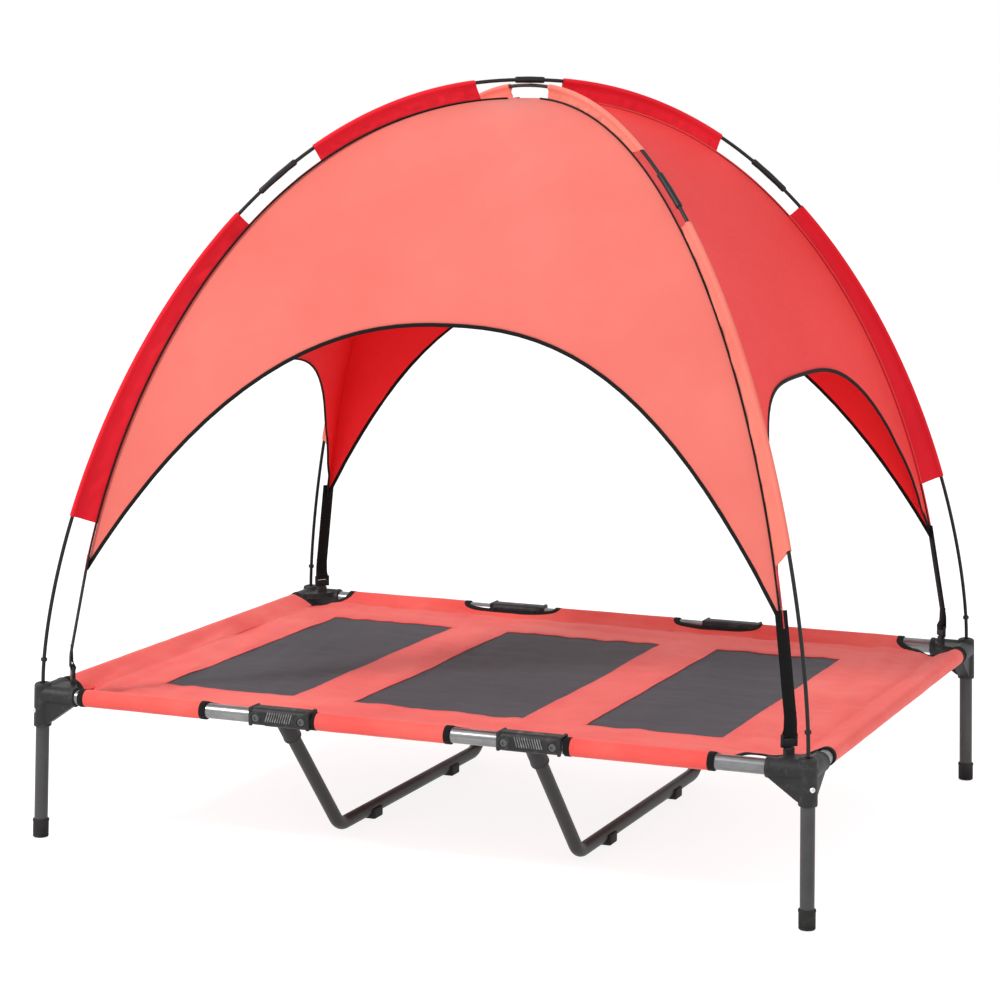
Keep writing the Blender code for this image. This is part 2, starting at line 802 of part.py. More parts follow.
def build_cover(looks):
    along = half_length / half_diagonal
    deep = half_width / half_diagonal
    x, y = Vector((1, 0, 0)), Vector((0, 1, 0))
    panels = (("front", -y, x, along, deep, side_arch_height, side_arch_fullness),
              ("back", y, x, along, deep, side_arch_height, side_arch_fullness),
              ("left", -x, y, deep, along, end_arch_height, end_arch_fullness),
              ("right", x, y, deep, along, end_arch_height, end_arch_fullness))
    for name, facing, sideways, across_share, out_share, top, fullness in panels:
        bm = cover_panel(facing, sideways, across_share, out_share, top, fullness)
        mesh = bpy.data.meshes.new(f"canopy_{name}")
        bm.to_mesh(mesh)
        bm.free()
        panel = as_object(f"canopy_{name}", mesh, looks["cover"])
        wall = panel.modifiers.new("wall", "SOLIDIFY")
        wall.thickness = cover_thickness
        wall.offset = -1


# ---- corner straps ----

def build_straps(looks):
    hook_clear = hook_top + gap
    strap_low = hook_clear + clip_height + gap
    inward = half_diagonal - hook_distance
    tip_reach, tip_height = seam_point(tip_turn())
    clip_width = strap_width + 2 * clip_margin
    for side, side_name in sides:
        for front, front_name in fronts:
            way = Vector((side * half_length, front * half_width, 0)) / half_diagonal
            across = way.cross(Vector((0, 0, 1)))
            half = across * strap_width / 2
            thick = way * strap_thickness / 2
            low = way * inward + Vector((0, 0, strap_low))
            high = way * (tip_reach - strap_inset) + Vector((0, 0, tip_height - strap_drop))
            bm = bmesh.new()
            rings = []
            for centre in (low, high):
                rings.append([bm.verts.new(centre + a * half + b * thick)
                              for a, b in ((-1, -1), (1, -1), (1, 1), (-1, 1))])
            bridge(bm, *rings)
            bm.faces.new(rings[0])
            bm.faces.new(rings[1])
            finished(f"strap_{front_name}_{side_name}", bm, looks["strap"])

            turn = Matrix((across, way, (0, 0, 1))).transposed().to_4x4()
            place = Matrix.Translation(way * inward + Vector((0, 0, hook_clear))) @ turn
            plate = block((-clip_width / 2, -clip_thickness / 2, 0),
                          (clip_width / 2, clip_thickness / 2, clip_height))
            slot = block((-clip_width / 2 + clip_bar, -0.01, clip_bar),
                         (clip_width / 2 - clip_bar, 0.01, clip_height - clip_bar))
            bm = cut(plate, [slot])
            placed(bm, place)
            finished(f"strap_clip_{front_name}_{side_name}", bm, looks["plastic"])


def main():
    for thing in list(bpy.data.objects):
        bpy.data.objects.remove(thing)
    looks = make_materials()
    build_corners(looks)
    build_rails(looks)
    build_connectors(looks)
    build_middle_legs(looks)
    build_cloth(looks)
    build_poles(looks)
    build_cover(looks)
    build_straps(looks)


main()
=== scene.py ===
"""A raised pet cot on a folding tube frame, with a dome canopy on two crossing poles."""
import math

import bmesh
import bpy
from mathutils import Matrix, Vector, noise
from mathutils.geometry import delaunay_2d_cdt
from mathutils.kdtree import KDTree


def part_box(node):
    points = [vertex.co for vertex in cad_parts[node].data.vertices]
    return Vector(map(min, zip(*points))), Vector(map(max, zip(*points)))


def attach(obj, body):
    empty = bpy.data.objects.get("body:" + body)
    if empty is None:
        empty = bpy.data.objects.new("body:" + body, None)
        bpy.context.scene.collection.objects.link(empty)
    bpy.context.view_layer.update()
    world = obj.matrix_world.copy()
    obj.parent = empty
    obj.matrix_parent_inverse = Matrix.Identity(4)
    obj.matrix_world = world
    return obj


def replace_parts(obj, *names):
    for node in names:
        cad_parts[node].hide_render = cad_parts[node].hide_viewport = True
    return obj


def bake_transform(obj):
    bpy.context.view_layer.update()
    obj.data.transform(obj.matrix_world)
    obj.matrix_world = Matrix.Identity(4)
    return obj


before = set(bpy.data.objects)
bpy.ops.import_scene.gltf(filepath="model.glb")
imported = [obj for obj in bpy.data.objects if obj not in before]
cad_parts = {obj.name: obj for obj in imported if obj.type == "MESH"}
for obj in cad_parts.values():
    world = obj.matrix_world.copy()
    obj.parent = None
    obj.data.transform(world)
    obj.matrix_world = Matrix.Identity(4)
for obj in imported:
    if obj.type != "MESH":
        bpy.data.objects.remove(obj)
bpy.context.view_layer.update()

# ---- sizes, in metres: from the frame's boxes, or the design's own where a box doesn't say ----

rail_low, rail_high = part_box("middle_rail_front")
rail_height = (rail_low.z + rail_high.z) / 2
half_width = -(rail_low.y + rail_high.y) / 2
end_low, end_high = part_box("end_rail_right")
half_length = (end_low.x + end_high.x) / 2
half_diagonal = math.hypot(half_length, half_width)
bracket_low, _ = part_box("bracket_front_right")
bracket_foot = bracket_low.z
leg_lean = 0.005
screw_height = 0.192
rail_radius = 0.011
leg_radius = 0.010
tube_wall = 0.0012
rail_inset = 0.0225
bracket_top = 0.2334
column_radius = 0.0132
socket_radius = 0.014
socket_reach = 0.057
web_low, web_high, web_radius = 0.2175, 0.2265, 0.050
hook_distance, hook_width, hook_depth, hook_top = 0.044, 0.016, 0.007, 0.2385
connector_place = 0.191
connector_length = 0.096
bolt_offset = 0.036
boss_radius, boss_face = 0.009, 0.017
leg_slant = math.radians(42.9)
bar_height = 0.014
middle_bend = 0.045
middle_leg_start = 0.009
middle_socket_radius, middle_socket_reach = 0.013, 0.046
shoe_spread = 0.300
pole_height, pole_radius = 1.118, 0.00275
lower_pole_height = 1.1098
pole_roundness, pole_fullness = 2.16, 1.586
seam_reach, seam_height = 0.691, 1.0905
seam_roundness, seam_fullness = 2.209, 1.690
pole_foot, stop_rise = 0.0325, 0.034    # below the bracket's top, and above it
ferrule_reach, ferrule_length, crown_ferrule_length = 0.384, 0.062, 0.046
cover_tip = 0.399           # the cover's lower tips
# each opening's height, how full its arch is, and how far its panel bows in
arches = {"front": (0.771, 2.34, 0.018), "back": (0.787, 2.34, 0.012),
          "left": (0.672, 3.30, 0.015), "right": (0.692, 3.60, 0.020)}
side_pucker, end_pucker = 0.0020, 0.0048    # how deep the seams' pull wrinkles each panel
strap_width = 0.020
clip_width, clip_height, clip_bar = 0.026, 0.018, 0.0045
bed_level = 0.2125
sides = (("left", -1), ("right", 1))
fronts = (("front", -1), ("back", 1))
corners = [(f"{front_name}_{side_name}", side_name, side, front)
           for side_name, side in sides for front_name, front in fronts]


# ---- tools ----

def deselect():
    if bpy.context.mode != "OBJECT":
        bpy.ops.object.mode_set(mode="OBJECT")
    bpy.ops.object.select_all(action="DESELECT")


def pick(piece):
    deselect()
    piece.select_set(True)
    bpy.context.view_layer.objects.active = piece


def editing(piece):
    pick(piece)
    bpy.ops.object.mode_set(mode="EDIT")


def added(name):
    """The primitive that was just added, with its place moved into its mesh."""
    piece = bpy.context.object
    piece.name = piece.data.name = name
    bpy.ops.object.transform_apply(location=True, rotation=True, scale=True)
    return piece


def middle_of(item):
    if isinstance(item, bmesh.types.BMVert):
        return item.co
    return sum((vert.co for vert in item.verts), Vector()) / len(item.verts)


def mark(piece, kind, test):
    """In edit mode, selects the faces, edges or vertices whose middle passes the test."""
    bpy.ops.mesh.select_mode(type=kind)
    bpy.ops.mesh.select_all(action="DESELECT")
    bm = bmesh.from_edit_mesh(piece.data)
    bm.normal_update()
    group = {"VERT": bm.verts, "EDGE": bm.edges, "FACE": bm.faces}[kind]
    for item in group:
        if test(item, middle_of(item)):
            item.select_set(True)
    bmesh.update_edit_mesh(piece.data)


def modified(piece, kind, **settings):
    pick(piece)
    modifier = piece.modifiers.new(kind.lower(), kind)
    for name, value in settings.items():
        setattr(modifier, name, value)
    bpy.ops.object.modifier_apply(modifier=modifier.name)
    return piece


def bar(name, start, end, radius, sides=32, edge=0.0):
    """A round bar between two points, its ends chamfered by edge."""
    start, end = Vector(start), Vector(end)
    deselect()
    bpy.ops.mesh.primitive_cylinder_add(vertices=sides, radius=radius, depth=(end - start).length,
                                        location=(start + end) / 2,
                                        rotation=(end - start).to_track_quat("Z", "Y").to_euler())
    piece = added(name)
    if edge:
        way = (end - start).normalized()
        editing(piece)
        mark(piece, "FACE", lambda face, _: abs(face.normal.dot(way)) > 0.9)
        bpy.ops.mesh.bevel(offset=edge, segments=2, affect="EDGES")
        bpy.ops.object.mode_set(mode="OBJECT")
    return piece


def tube(name, start, end, radius, wall, sides=40):
    """A hollow tube: each end is inset by its wall and pushed in."""
    start, end = Vector(start), Vector(end)
    piece = bar(name, start, end, radius, sides)
    way = (end - start).normalized()
    for sign in (-1, 1):
        editing(piece)
        mark(piece, "FACE", lambda face, _: face.normal.dot(way) * sign > 0.9)
        bpy.ops.mesh.inset(thickness=wall * 0.3)
        bpy.ops.mesh.inset(thickness=wall * 0.7)
        bpy.ops.mesh.extrude_region_move(
            TRANSFORM_OT_translate={"value": tuple(-way * sign * 0.03)})
        bpy.ops.object.mode_set(mode="OBJECT")
    return piece


def block(name, low, high, edge=0.0, segments=2):
    low, high = Vector(low), Vector(high)
    deselect()
    bpy.ops.mesh.primitive_cube_add(size=1, location=(low + high) / 2, scale=high - low)
    piece = added(name)
    if edge:
        editing(piece)
        bpy.ops.mesh.select_all(action="SELECT")
        bpy.ops.mesh.bevel(offset=edge, segments=segments, affect="EDGES")
        bpy.ops.object.mode_set(mode="OBJECT")
    return piece


def stacked(name, levels, sides=36):
    """A round piece grown upwards from a disc, one ring for each (radius, height)."""
    radius, height = levels[0]
    deselect()
    bpy.ops.mesh.primitive_circle_add(vertices=sides, radius=radius, fill_type="NGON",
                                      location=(0, 0, height))
    piece = added(name)
    editing(piece)
    bpy.ops.mesh.select_all(action="SELECT")
    for radius_to, height_to in levels[1:]:
        bpy.ops.mesh.extrude_region_move(
            TRANSFORM_OT_translate={"value": (0, 0, height_to - height)})
        share = radius_to / radius
        bpy.ops.transform.resize(value=(share, share, 1), center_override=(0, 0, height_to))
        radius, height = radius_to, height_to
    turned_out(piece)
    return piece


def combined(piece, other, operation):
    pick(piece)
    modifier = piece.modifiers.new("boolean", "BOOLEAN")
    modifier.operation = operation
    modifier.solver = "EXACT"
    modifier.object = other
    bpy.ops.object.modifier_apply(modifier=modifier.name)
    bpy.data.objects.remove(other)
    return piece


def join(piece, other):
    return combined(piece, other, "UNION")


def cut(piece, other):
    return combined(piece, other, "DIFFERENCE")


def moulded(piece, voxel, rounds, keep=0.5):
    """Melts the joints of a moulding into small fillets."""
    modified(piece, "REMESH", mode="VOXEL", voxel_size=voxel)
    modified(piece, "SMOOTH", factor=0.5, iterations=rounds)
    return modified(piece, "DECIMATE", ratio=keep)


def moved(piece, matrix):
    """Puts the piece somewhere else, and turns its faces out again if that mirrored it."""
    piece.data.transform(matrix)
    if matrix.determinant() < 0:
        piece.data.flip_normals()
    return piece


def copied(piece, name, matrix):
    twin = piece.copy()
    twin.data = piece.data.copy()
    twin.name = twin.data.name = name
    bpy.context.scene.collection.objects.link(twin)
    return moved(twin, matrix)


def merged(name, pieces):
    pick(pieces[0])
    for piece in pieces:
        piece.select_set(True)
    if len(pieces) > 1:
        bpy.ops.object.join()
    pieces[0].name = pieces[0].data.name = name
    return pieces[0]


def dressed(piece, material, angle=None):
    """Gives a piece its finish and its smooth shading."""
    piece.data.materials.clear()
    piece.data.materials.append(material)
    pick(piece)
    if angle is None:
        bpy.ops.object.shade_smooth()
    else:
        bpy.ops.object.shade_smooth_by_angle(angle=math.radians(angle))
    return piece


def fitted(piece, finish, angle, body, node=None):
    """Dresses a piece, rides it on its body and hides the CAD node it stands for."""
    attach(dressed(piece, finishes[finish], angle), body)
    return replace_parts(piece, node) if node else piece


def discard(*models):
    for model in models:
        bpy.data.objects.remove(model)


def from_faces(name, verts, faces, flats=None):
    """A mesh from points and faces, with the flat cut of each face's corners as its UV map."""
    mesh = bpy.data.meshes.new(name)
    mesh.from_pydata([tuple(v) for v in verts], [], faces)
    if flats:
        layer = mesh.uv_layers.new(name="flat")
        for polygon in mesh.polygons:
            for k, loop in enumerate(polygon.loop_indices):
                layer.data[loop].uv = flats[polygon.index][k]
    piece = bpy.data.objects.new(name, mesh)
    bpy.context.scene.collection.objects.link(piece)
    return piece


def ringed(name, rings, caps=True, closed=False):
    """A skin through closed rings of points, with its UV map in metres along and round it."""
    count, size = len(rings), len(rings[0])
    travelled = [0.0]
    for before, after in zip(rings, rings[1:] + rings[:1]):
        travelled.append(travelled[-1] + sum((b - a).length
                                             for a, b in zip(before, after)) / size)
    girth = [0.0]
    for a, b in zip(rings[0], rings[0][1:] + rings[0][:1]):
        girth.append(girth[-1] + (b - a).length)
    faces, flats = [], []
    for i in range(count if closed else count - 1):
        j = (i + 1) % count
        for k in range(size):
            n = (k + 1) % size
            faces.append((i * size + k, i * size + n, j * size + n, j * size + k))
            flats.append([(travelled[i], girth[k]), (travelled[i], girth[k + 1]),
                          (travelled[i + 1], girth[k + 1]), (travelled[i + 1], girth[k])])
    if caps and not closed:
        for end in (range(size - 1, -1, -1), range((count - 1) * size, count * size)):
            faces.append(tuple(end))
            flats.append([(0.0, 0.0)] * size)
    piece = from_faces(name, [vert for line in rings for vert in line], faces, flats)
    turned_out(piece)
    return piece


def swept(name, path, side_ways, profile_at, caps=True, closed=False):
    """Carries a closed profile along a path. side_ways gives the profile's first direction at each
    point, and profile_at(i) the profile as (along it, square to it)."""
    count = len(path)
    rings = []
    for i, point in enumerate(path):
        before = path[i - 1] if i or closed else point
        after = path[(i + 1) % count] if i < count - 1 or closed else point
        way = (after - before).normalized()
        side = (side_ways[i] - way * side_ways[i].dot(way)).normalized()
        up = way.cross(side)
        rings.append([point + side * a + up * b for a, b in profile_at(i)])
    return ringed(name, rings, caps, closed)


def turned_out(piece):
    """On a closed shell, makes every face look outwards."""
    editing(piece)
    bpy.ops.mesh.select_all(action="SELECT")
    bpy.ops.mesh.normals_make_consistent(inside=False)
    bpy.ops.object.mode_set(mode="OBJECT")


def ring(radius, sides):
    return [(radius * math.cos(2 * math.pi * k / sides),
             radius * math.sin(2 * math.pi * k / sides)) for k in range(sides)]


def smoothstep(low, high, value):
    t = min(1.0, max(0.0, (value - low) / (high - low)))
    return t * t * (3 - 2 * t)


def mixed(a, b, t):
    return a + (b - a) * t


def resampled(points, spacing):
    """The same line with its points evenly spaced."""
    lengths = [0.0]
    for a, b in zip(points, points[1:]):
        lengths.append(lengths[-1] + (b - a).length)
    count = max(2, round(lengths[-1] / spacing))
    even, k = [], 0
    for i in range(count + 1):
        want = lengths[-1] * i / count
        while k < len(points) - 2 and lengths[k + 1] < want:
            k += 1
        span = lengths[k + 1] - lengths[k]
        even.append(points[k].lerp(points[k + 1], (want - lengths[k]) / span if span else 0))
    return even


# ---- finishes ----

class Finish:
    """A node material in the making."""

    def __init__(self, name, **sockets):
        self.material = bpy.data.materials.new(name)
        self.material.use_nodes = True
        self.tree = self.material.node_tree
        self.shader = self.tree.nodes["Principled BSDF"]
        for socket, value in sockets.items():
            self.shader.inputs[socket.replace("_", " ")].default_value = value
        self.places = self.node("TexCoord")

    def node(self, kind, links=None, values=None, **settings):
        made = self.tree.nodes.new("ShaderNode" + kind)
        for name, value in settings.items():
            setattr(made, name, value)
        for socket, value in (values or {}).items():
            made.inputs[socket].default_value = value
        for socket, source in (links or {}).items():
            self.tree.links.new(source, made.inputs[socket])
        return made

    def place(self, scale, source="Object"):
        mapping = self.node("Mapping", {"Vector": self.places.outputs[source]})
        mapping.inputs["Scale"].default_value = scale
        return mapping.outputs["Vector"]

    def noise(self, scale, detail=3.0, stretch=(1, 1, 1), source="Object", roughness=0.55):
        made = self.node("TexNoise", {"Vector": self.place(stretch, source)},
                         {"Scale": scale, "Detail": detail, "Roughness": roughness})
        return made.outputs["Fac"]

    def bands(self, period, direction, source="UV", distortion=0.0):
        """Stripes that repeat every period metres."""
        made = self.node("TexWave", {"Vector": self.places.outputs[source]},
                         {"Scale": math.pi / 10 / period, "Distortion": distortion,
                          "Detail": 1.0, "Detail Scale": 1.0},
                         bands_direction=direction)
        return made.outputs["Fac"]

    def maths(self, operation, a, b=0.0):
        made = self.node("Math", operation=operation)
        for socket, value in zip(made.inputs, (a, b)):
            if isinstance(value, (int, float)):
                socket.default_value = value
            else:
                self.tree.links.new(value, socket)
        return made.outputs[0]

    def ramp(self, factor, stops):
        made = self.node("ValToRGB", {"Fac": factor})
        elements = made.color_ramp.elements
        for element, (position, colour) in zip(elements, stops):
            element.position, element.color = position, colour
        for position, colour in stops[2:]:
            elements.new(position).color = colour
        return made.outputs["Color"]

    def mix(self, factor, a, b):
        made = self.node("Mix", data_type="RGBA")
        for socket, value in ((made.inputs[0], factor), (made.inputs[6], a), (made.inputs[7], b)):
            if isinstance(value, (int, float, tuple)):
                socket.default_value = value
            else:
                self.tree.links.new(value, socket)
        return made.outputs[2]

    def tint(self, factor, body, colour):
        """Multiplies the body colour by another one where the factor is 1."""
        return self.node("Mix", {0: factor, 6: body}, {7: colour}, data_type="RGBA",
                         blend_type="MULTIPLY").outputs[2]

    def colour(self, source):
        self.tree.links.new(source, self.shader.inputs["Base Color"])

    def roughness(self, factor, low, high):
        made = self.node("MapRange", {"Value": factor}, {"To Min": low, "To Max": high})
        self.tree.links.new(made.outputs[0], self.shader.inputs["Roughness"])

    def bump(self, *layers):
        """Each layer is (height, depth in metres, strength)."""
        last = None
        for height, depth, strength in layers:
            links = {"Height": height}
            if last:
                links["Normal"] = last
            last = self.node("Bump", links, {"Strength": strength, "Distance": depth}).outputs[0]
        self.tree.links.new(last, self.shader.inputs["Normal"])


def grey(value, warmth=1.0):
    return (value * warmth, value, value / warmth, 1)


def make_rail_steel():
    """Silver-grey satin tube with a fine drawn grain and faint scuffs."""
    look = Finish("rail_steel", Metallic=0.85)
    grain = look.noise(260, 4, (0.04, 1, 1))
    scuffs = look.noise(38, 6, roughness=0.7)
    look.colour(look.mix(look.ramp(scuffs, ((0.40, grey(0)), (0.75, grey(1)))),
                         look.ramp(grain, ((0.3, grey(0.19)), (0.7, grey(0.27)))),
                         (0.14, 0.145, 0.155, 1)))
    look.roughness(scuffs, 0.22, 0.40)
    look.bump((grain, 0.0002, 0.25), (scuffs, 0.0004, 0.1))
    return look.material


def make_powder_coat(name, shade, warmth=1.0):
    """Dark stoved paint: fine orange peel, dust and rubbed patches."""
    look = Finish(name, Specular_IOR_Level=0.28)
    peel = look.noise(900, 2)
    dust = look.noise(14, 5, roughness=0.65)
    look.colour(look.ramp(dust, ((0.3, grey(shade, warmth)), (0.75, grey(shade * 1.7, warmth)))))
    look.roughness(dust, 0.34, 0.56)
    look.bump((peel, 0.0003, 0.28))
    return look.material


def make_moulding(name, shade):
    """Charcoal moulded plastic with a spark-eroded grain and rubbed edges."""
    look = Finish(name, Specular_IOR_Level=0.22)
    grain = look.noise(1400, 3)
    cloud = look.noise(22, 5)
    edge = look.node("NewGeometry").outputs["Pointiness"]
    worn = look.ramp(look.maths("MULTIPLY", edge, look.maths("ADD", look.noise(90, 4), 0.5)),
                     ((0.52, grey(0)), (0.66, grey(1))))
    body = look.ramp(cloud, ((0.3, grey(shade)), (0.75, grey(shade * 1.5))))
    look.colour(look.mix(worn, body, grey(shade * 3.2)))
    look.roughness(cloud, 0.42, 0.6)
    look.bump((grain, 0.0002, 0.35))
    return look.material


def make_rubber():
    look = Finish("foot_rubber", Specular_IOR_Level=0.15)
    grain = look.noise(700, 4)
    dust = look.noise(30, 5)
    look.colour(look.ramp(dust, ((0.35, grey(0.008)), (0.8, grey(0.035, 1.04)))))
    look.roughness(dust, 0.55, 0.82)
    look.bump((grain, 0.0003, 0.4))
    return look.material


def make_bolt_steel(name, shade):
    look = Finish(name, Metallic=1.0)
    turning = look.noise(420, 3)
    look.colour(look.ramp(turning, ((0.3, grey(shade)), (0.75, grey(shade * 1.5)))))
    look.roughness(turning, 0.25, 0.5)
    look.bump((turning, 0.0002, 0.25))
    return look.material


def make_pole_fibre():
    """Pultruded glass-fibre rod: black, with a fine lengthways grain."""
    look = Finish("pole_fibre", Specular_IOR_Level=0.25)
    grain = look.noise(900, 3, (0.03, 1, 1), "UV")
    patch = look.noise(26, 4)
    look.colour(look.ramp(grain, ((0.3, grey(0.003)), (0.8, grey(0.014)))))
    look.roughness(patch, 0.26, 0.45)
    look.bump((grain, 0.0003, 0.3))
    return look.material


def weave(look, period, source="UV"):
    """Height of a plain weave: warp over weft over warp, from two sets of threads."""
    warp = look.bands(period, "X", source)
    weft = look.bands(period, "Y", source)
    crossing = look.maths("MULTIPLY", look.maths("SUBTRACT", warp, 0.5),
                          look.maths("SUBTRACT", weft, 0.5))
    return look.maths("ADD", look.maths("MULTIPLY", crossing, 2.0), 0.5)


def make_cloth(name, deep, plain, washed, period, sheen, depth, panel_light_and_shade=False):
    """Coated polyester: a plain weave, uneven thread colour, soft creases and a faint sheen. If
    asked, it paints the end panels deeper as painted shade, leaving the front and back paler as
    painted light, and the inside a brighter, clearer red as painted light shining through the cloth;
    the inside and the end panels get no sheen."""
    look = Finish(name, Sheen_Weight=sheen, Sheen_Roughness=0.45, Specular_IOR_Level=0.2)
    look.shader.inputs["Sheen Tint"].default_value = (1.0, 0.80, 0.76, 1)
    threads = weave(look, period)
    slubs = look.noise(160, 4, (0.15, 1, 1), "UV")
    cloud = look.noise(5, 5)
    creases = look.noise(11, 6, (1, 1, 1), roughness=0.5)
    cloudy = look.ramp(cloud, ((0.3, deep), (0.72, washed), (0.5, plain)))
    threaded = look.mix(look.maths("MULTIPLY", threads, 0.22), cloudy, deep)
    body = look.mix(look.maths("MULTIPLY", slubs, 0.16), threaded, washed)
    if panel_light_and_shade:
        ends = look.node("Attribute", attribute_name="end_panel").outputs["Fac"]
        outward = look.node("VectorMath", {0: look.places.outputs["Object"]},
                            {1: (0, 0, 0.5)}, operation="SUBTRACT").outputs[0]
        facing = look.node("VectorMath", {0: outward, 1: look.places.outputs["Normal"]},
                           operation="DOT_PRODUCT").outputs["Value"]
        inside = look.maths("LESS_THAN", facing, 0.0)
        # painted light: the inside is tinted a brighter, clearer red for light shining through the
        # cloth
        body = look.tint(inside, body, (1.54, 0.16, 0.26, 1))
        # painted shade: the outside of the end panels is tinted deeper than the front and back panels
        shaded_outside_end = look.maths("GREATER_THAN", look.maths("SUBTRACT", ends, inside), 0.5)
        body = look.tint(shaded_outside_end, body, (1.24, 0.38, 0.46, 1))
        plain_outside = look.maths("SUBTRACT", 1.0, look.maths("MAXIMUM", inside, ends))
        look.tree.links.new(look.maths("MULTIPLY", plain_outside, sheen),
                            look.shader.inputs["Sheen Weight"])
    look.colour(body)
    look.roughness(slubs, 0.62, 0.82)
    look.bump((creases, 0.012, depth), (slubs, 0.0005, 0.15), (threads, 0.0004, 0.35))
    return look.material


def make_bed_mesh():
    """Dark coated-yarn mesh: a close grid of ribs with small open holes painted near black as painted
    shade.
    """
    look = Finish("bed_mesh", Specular_IOR_Level=0.12, Sheen_Weight=0.03, Sheen_Roughness=0.4)
    across = look.bands(0.0022, "X")
    along = look.bands(0.0015, "Y")
    ribs = look.maths("MAXIMUM", across, along)
    slubs = look.noise(60, 5, (0.05, 1, 1), "UV")
    cloud = look.noise(4, 4)
    yarn = look.ramp(cloud, ((0.3, (0.046, 0.046, 0.056, 1)), (0.75, (0.068, 0.069, 0.082, 1))))
    yarn = look.mix(look.maths("MULTIPLY", slubs, 0.35), yarn, (0.092, 0.094, 0.108, 1))
    # painted shade: the open holes are coloured near black for the shade seen through them
    holes = look.ramp(ribs, ((0.45, grey(1)), (0.7, grey(0))))
    look.colour(look.mix(look.maths("MULTIPLY", holes, 0.75), yarn, (0.012, 0.013, 0.017, 1)))
    look.roughness(slubs, 0.5, 0.72)
    wrinkles = look.noise(13, 5, (1, 2.2, 1))
    look.bump((cloud, 0.006, 0.2), (wrinkles, 0.006, 0.30), (ribs, 0.0006, 0.7))
    return look.material


def make_webbing(name, period, shade):
    """Woven tape: ribs across it, a faint chevron along it and fuzzy yarn."""
    look = Finish(name, Specular_IOR_Level=0.08, Sheen_Weight=0.02, Sheen_Roughness=0.5)
    ribs = look.bands(period, "X")
    chevron = look.bands(period * 2.2, "DIAGONAL")
    fuzz = look.noise(500, 4, source="UV")
    weaving = look.maths("ADD", look.maths("MULTIPLY", ribs, 0.7),
                         look.maths("MULTIPLY", chevron, 0.3))
    look.colour(look.mix(fuzz, look.ramp(weaving, ((0.2, grey(shade * 0.4)), (0.9, grey(shade)))),
                         grey(shade * 1.6)))
    look.roughness(fuzz, 0.58, 0.8)
    look.bump((weaving, 0.0006, 0.7), (fuzz, 0.0003, 0.3))
    return look.material


def make_thread(name, colour):
    look = Finish(name, Specular_IOR_Level=0.4, Sheen_Weight=0.3)
    twist = look.noise(1500, 2)
    paler = tuple(min(1, c * 1.5 + 0.01) for c in colour[:3]) + (1,)
    look.colour(look.ramp(twist, ((0.3, colour), (0.75, paler))))
    look.roughness(twist, 0.45, 0.7)
    look.bump((twist, 0.0002, 0.4))
    return look.material


finishes = {
    "rail": make_rail_steel(),
    "leg": make_powder_coat("corner_leg_paint", 0.034),
    "middle_leg": make_powder_coat("middle_leg_paint", 0.011, 1.05),
    "plastic": make_moulding("frame_moulding", 0.014),
    # painted highlight: the grip ribs are a lighter grey standing for the glints they catch
    "rib": make_moulding("rib_glint_moulding", 0.075),
    "clip": make_moulding("clip_moulding", 0.005),
    "rubber": make_rubber(),
    "bolt": make_bolt_steel("bolt_steel", 0.09),
    "screw": make_bolt_steel("screw_steel", 0.55),
    "pole": make_pole_fibre(),
    "ferrule": make_powder_coat("ferrule_paint", 0.005),
    # the canopy cloth takes painted shade on its end panels and painted light on its inside
    "canopy": make_cloth("canopy_cloth", (0.56, 0.108, 0.086, 1), (0.58, 0.124, 0.099, 1),
                         (0.61, 0.145, 0.117, 1), 0.0008, 0.22, 0.10, panel_light_and_shade=True),
    # painted light and shade: one sleeve cloth in two copies, a deep crimson shaded one and a paler
    # salmon lit one
    "fin": make_cloth("shaded_sleeve_cloth", (0.54, 0.003, 0.012, 1), (0.61, 0.005, 0.017, 1),
                      (0.68, 0.014, 0.026, 1), 0.0008, 0.03, 0.2),
    "lit_fin": make_cloth("lit_sleeve_cloth", (0.60, 0.11, 0.08, 1), (0.65, 0.15, 0.11, 1),
                           (0.70, 0.19, 0.14, 1), 0.0008, 0.2, 0.2),
    "bed": make_cloth("bed_cloth", (0.62, 0.042, 0.036, 1), (0.69, 0.072, 0.060, 1),
                      (0.75, 0.122, 0.098, 1), 0.0011, 0.22, 0.35),
    "mesh": make_bed_mesh(),
    "binding": make_webbing("binding_tape", 0.0012, 0.007),
    "strap": make_webbing("strap_webbing", 0.0016, 0.005),
    "red_thread": make_thread("red_thread", (0.45, 0.012, 0.012, 1)),
    "black_thread": make_thread("black_thread", (0.012, 0.012, 0.014, 1)),
}


# ---- corner posts: legs, caps, brackets and leg screws ----

def to_corner(side, front):
    """From bracket space (inward along X, inward along Y, up) to one corner."""
    place = Matrix.Translation((side * half_length, front * half_width, 0))
    return place @ Matrix.Diagonal((-side, -front, 1, 1))


def to_connector(side, front):
    """From connector space (outward along X, inward along Y, up from the rail) to its place."""
    place = Matrix.Translation((side * connector_place, front * half_width, rail_height))
    return place @ Matrix.Diagonal((side, -front, 1, 1))


def leg_axis(height):
    lean = leg_lean * (rail_height - height) / rail_height
    return Vector((-lean, -lean, height))


def leaned(piece):
    """Leans an upright piece as the leg leans."""
    editing(piece)
    bm = bmesh.from_edit_mesh(piece.data)
    for vert in bm.verts:
        vert.co += leg_axis(vert.co.z) - Vector((0, 0, vert.co.z))
    bmesh.update_edit_mesh(piece.data)
    bpy.ops.object.mode_set(mode="OBJECT")
    return piece


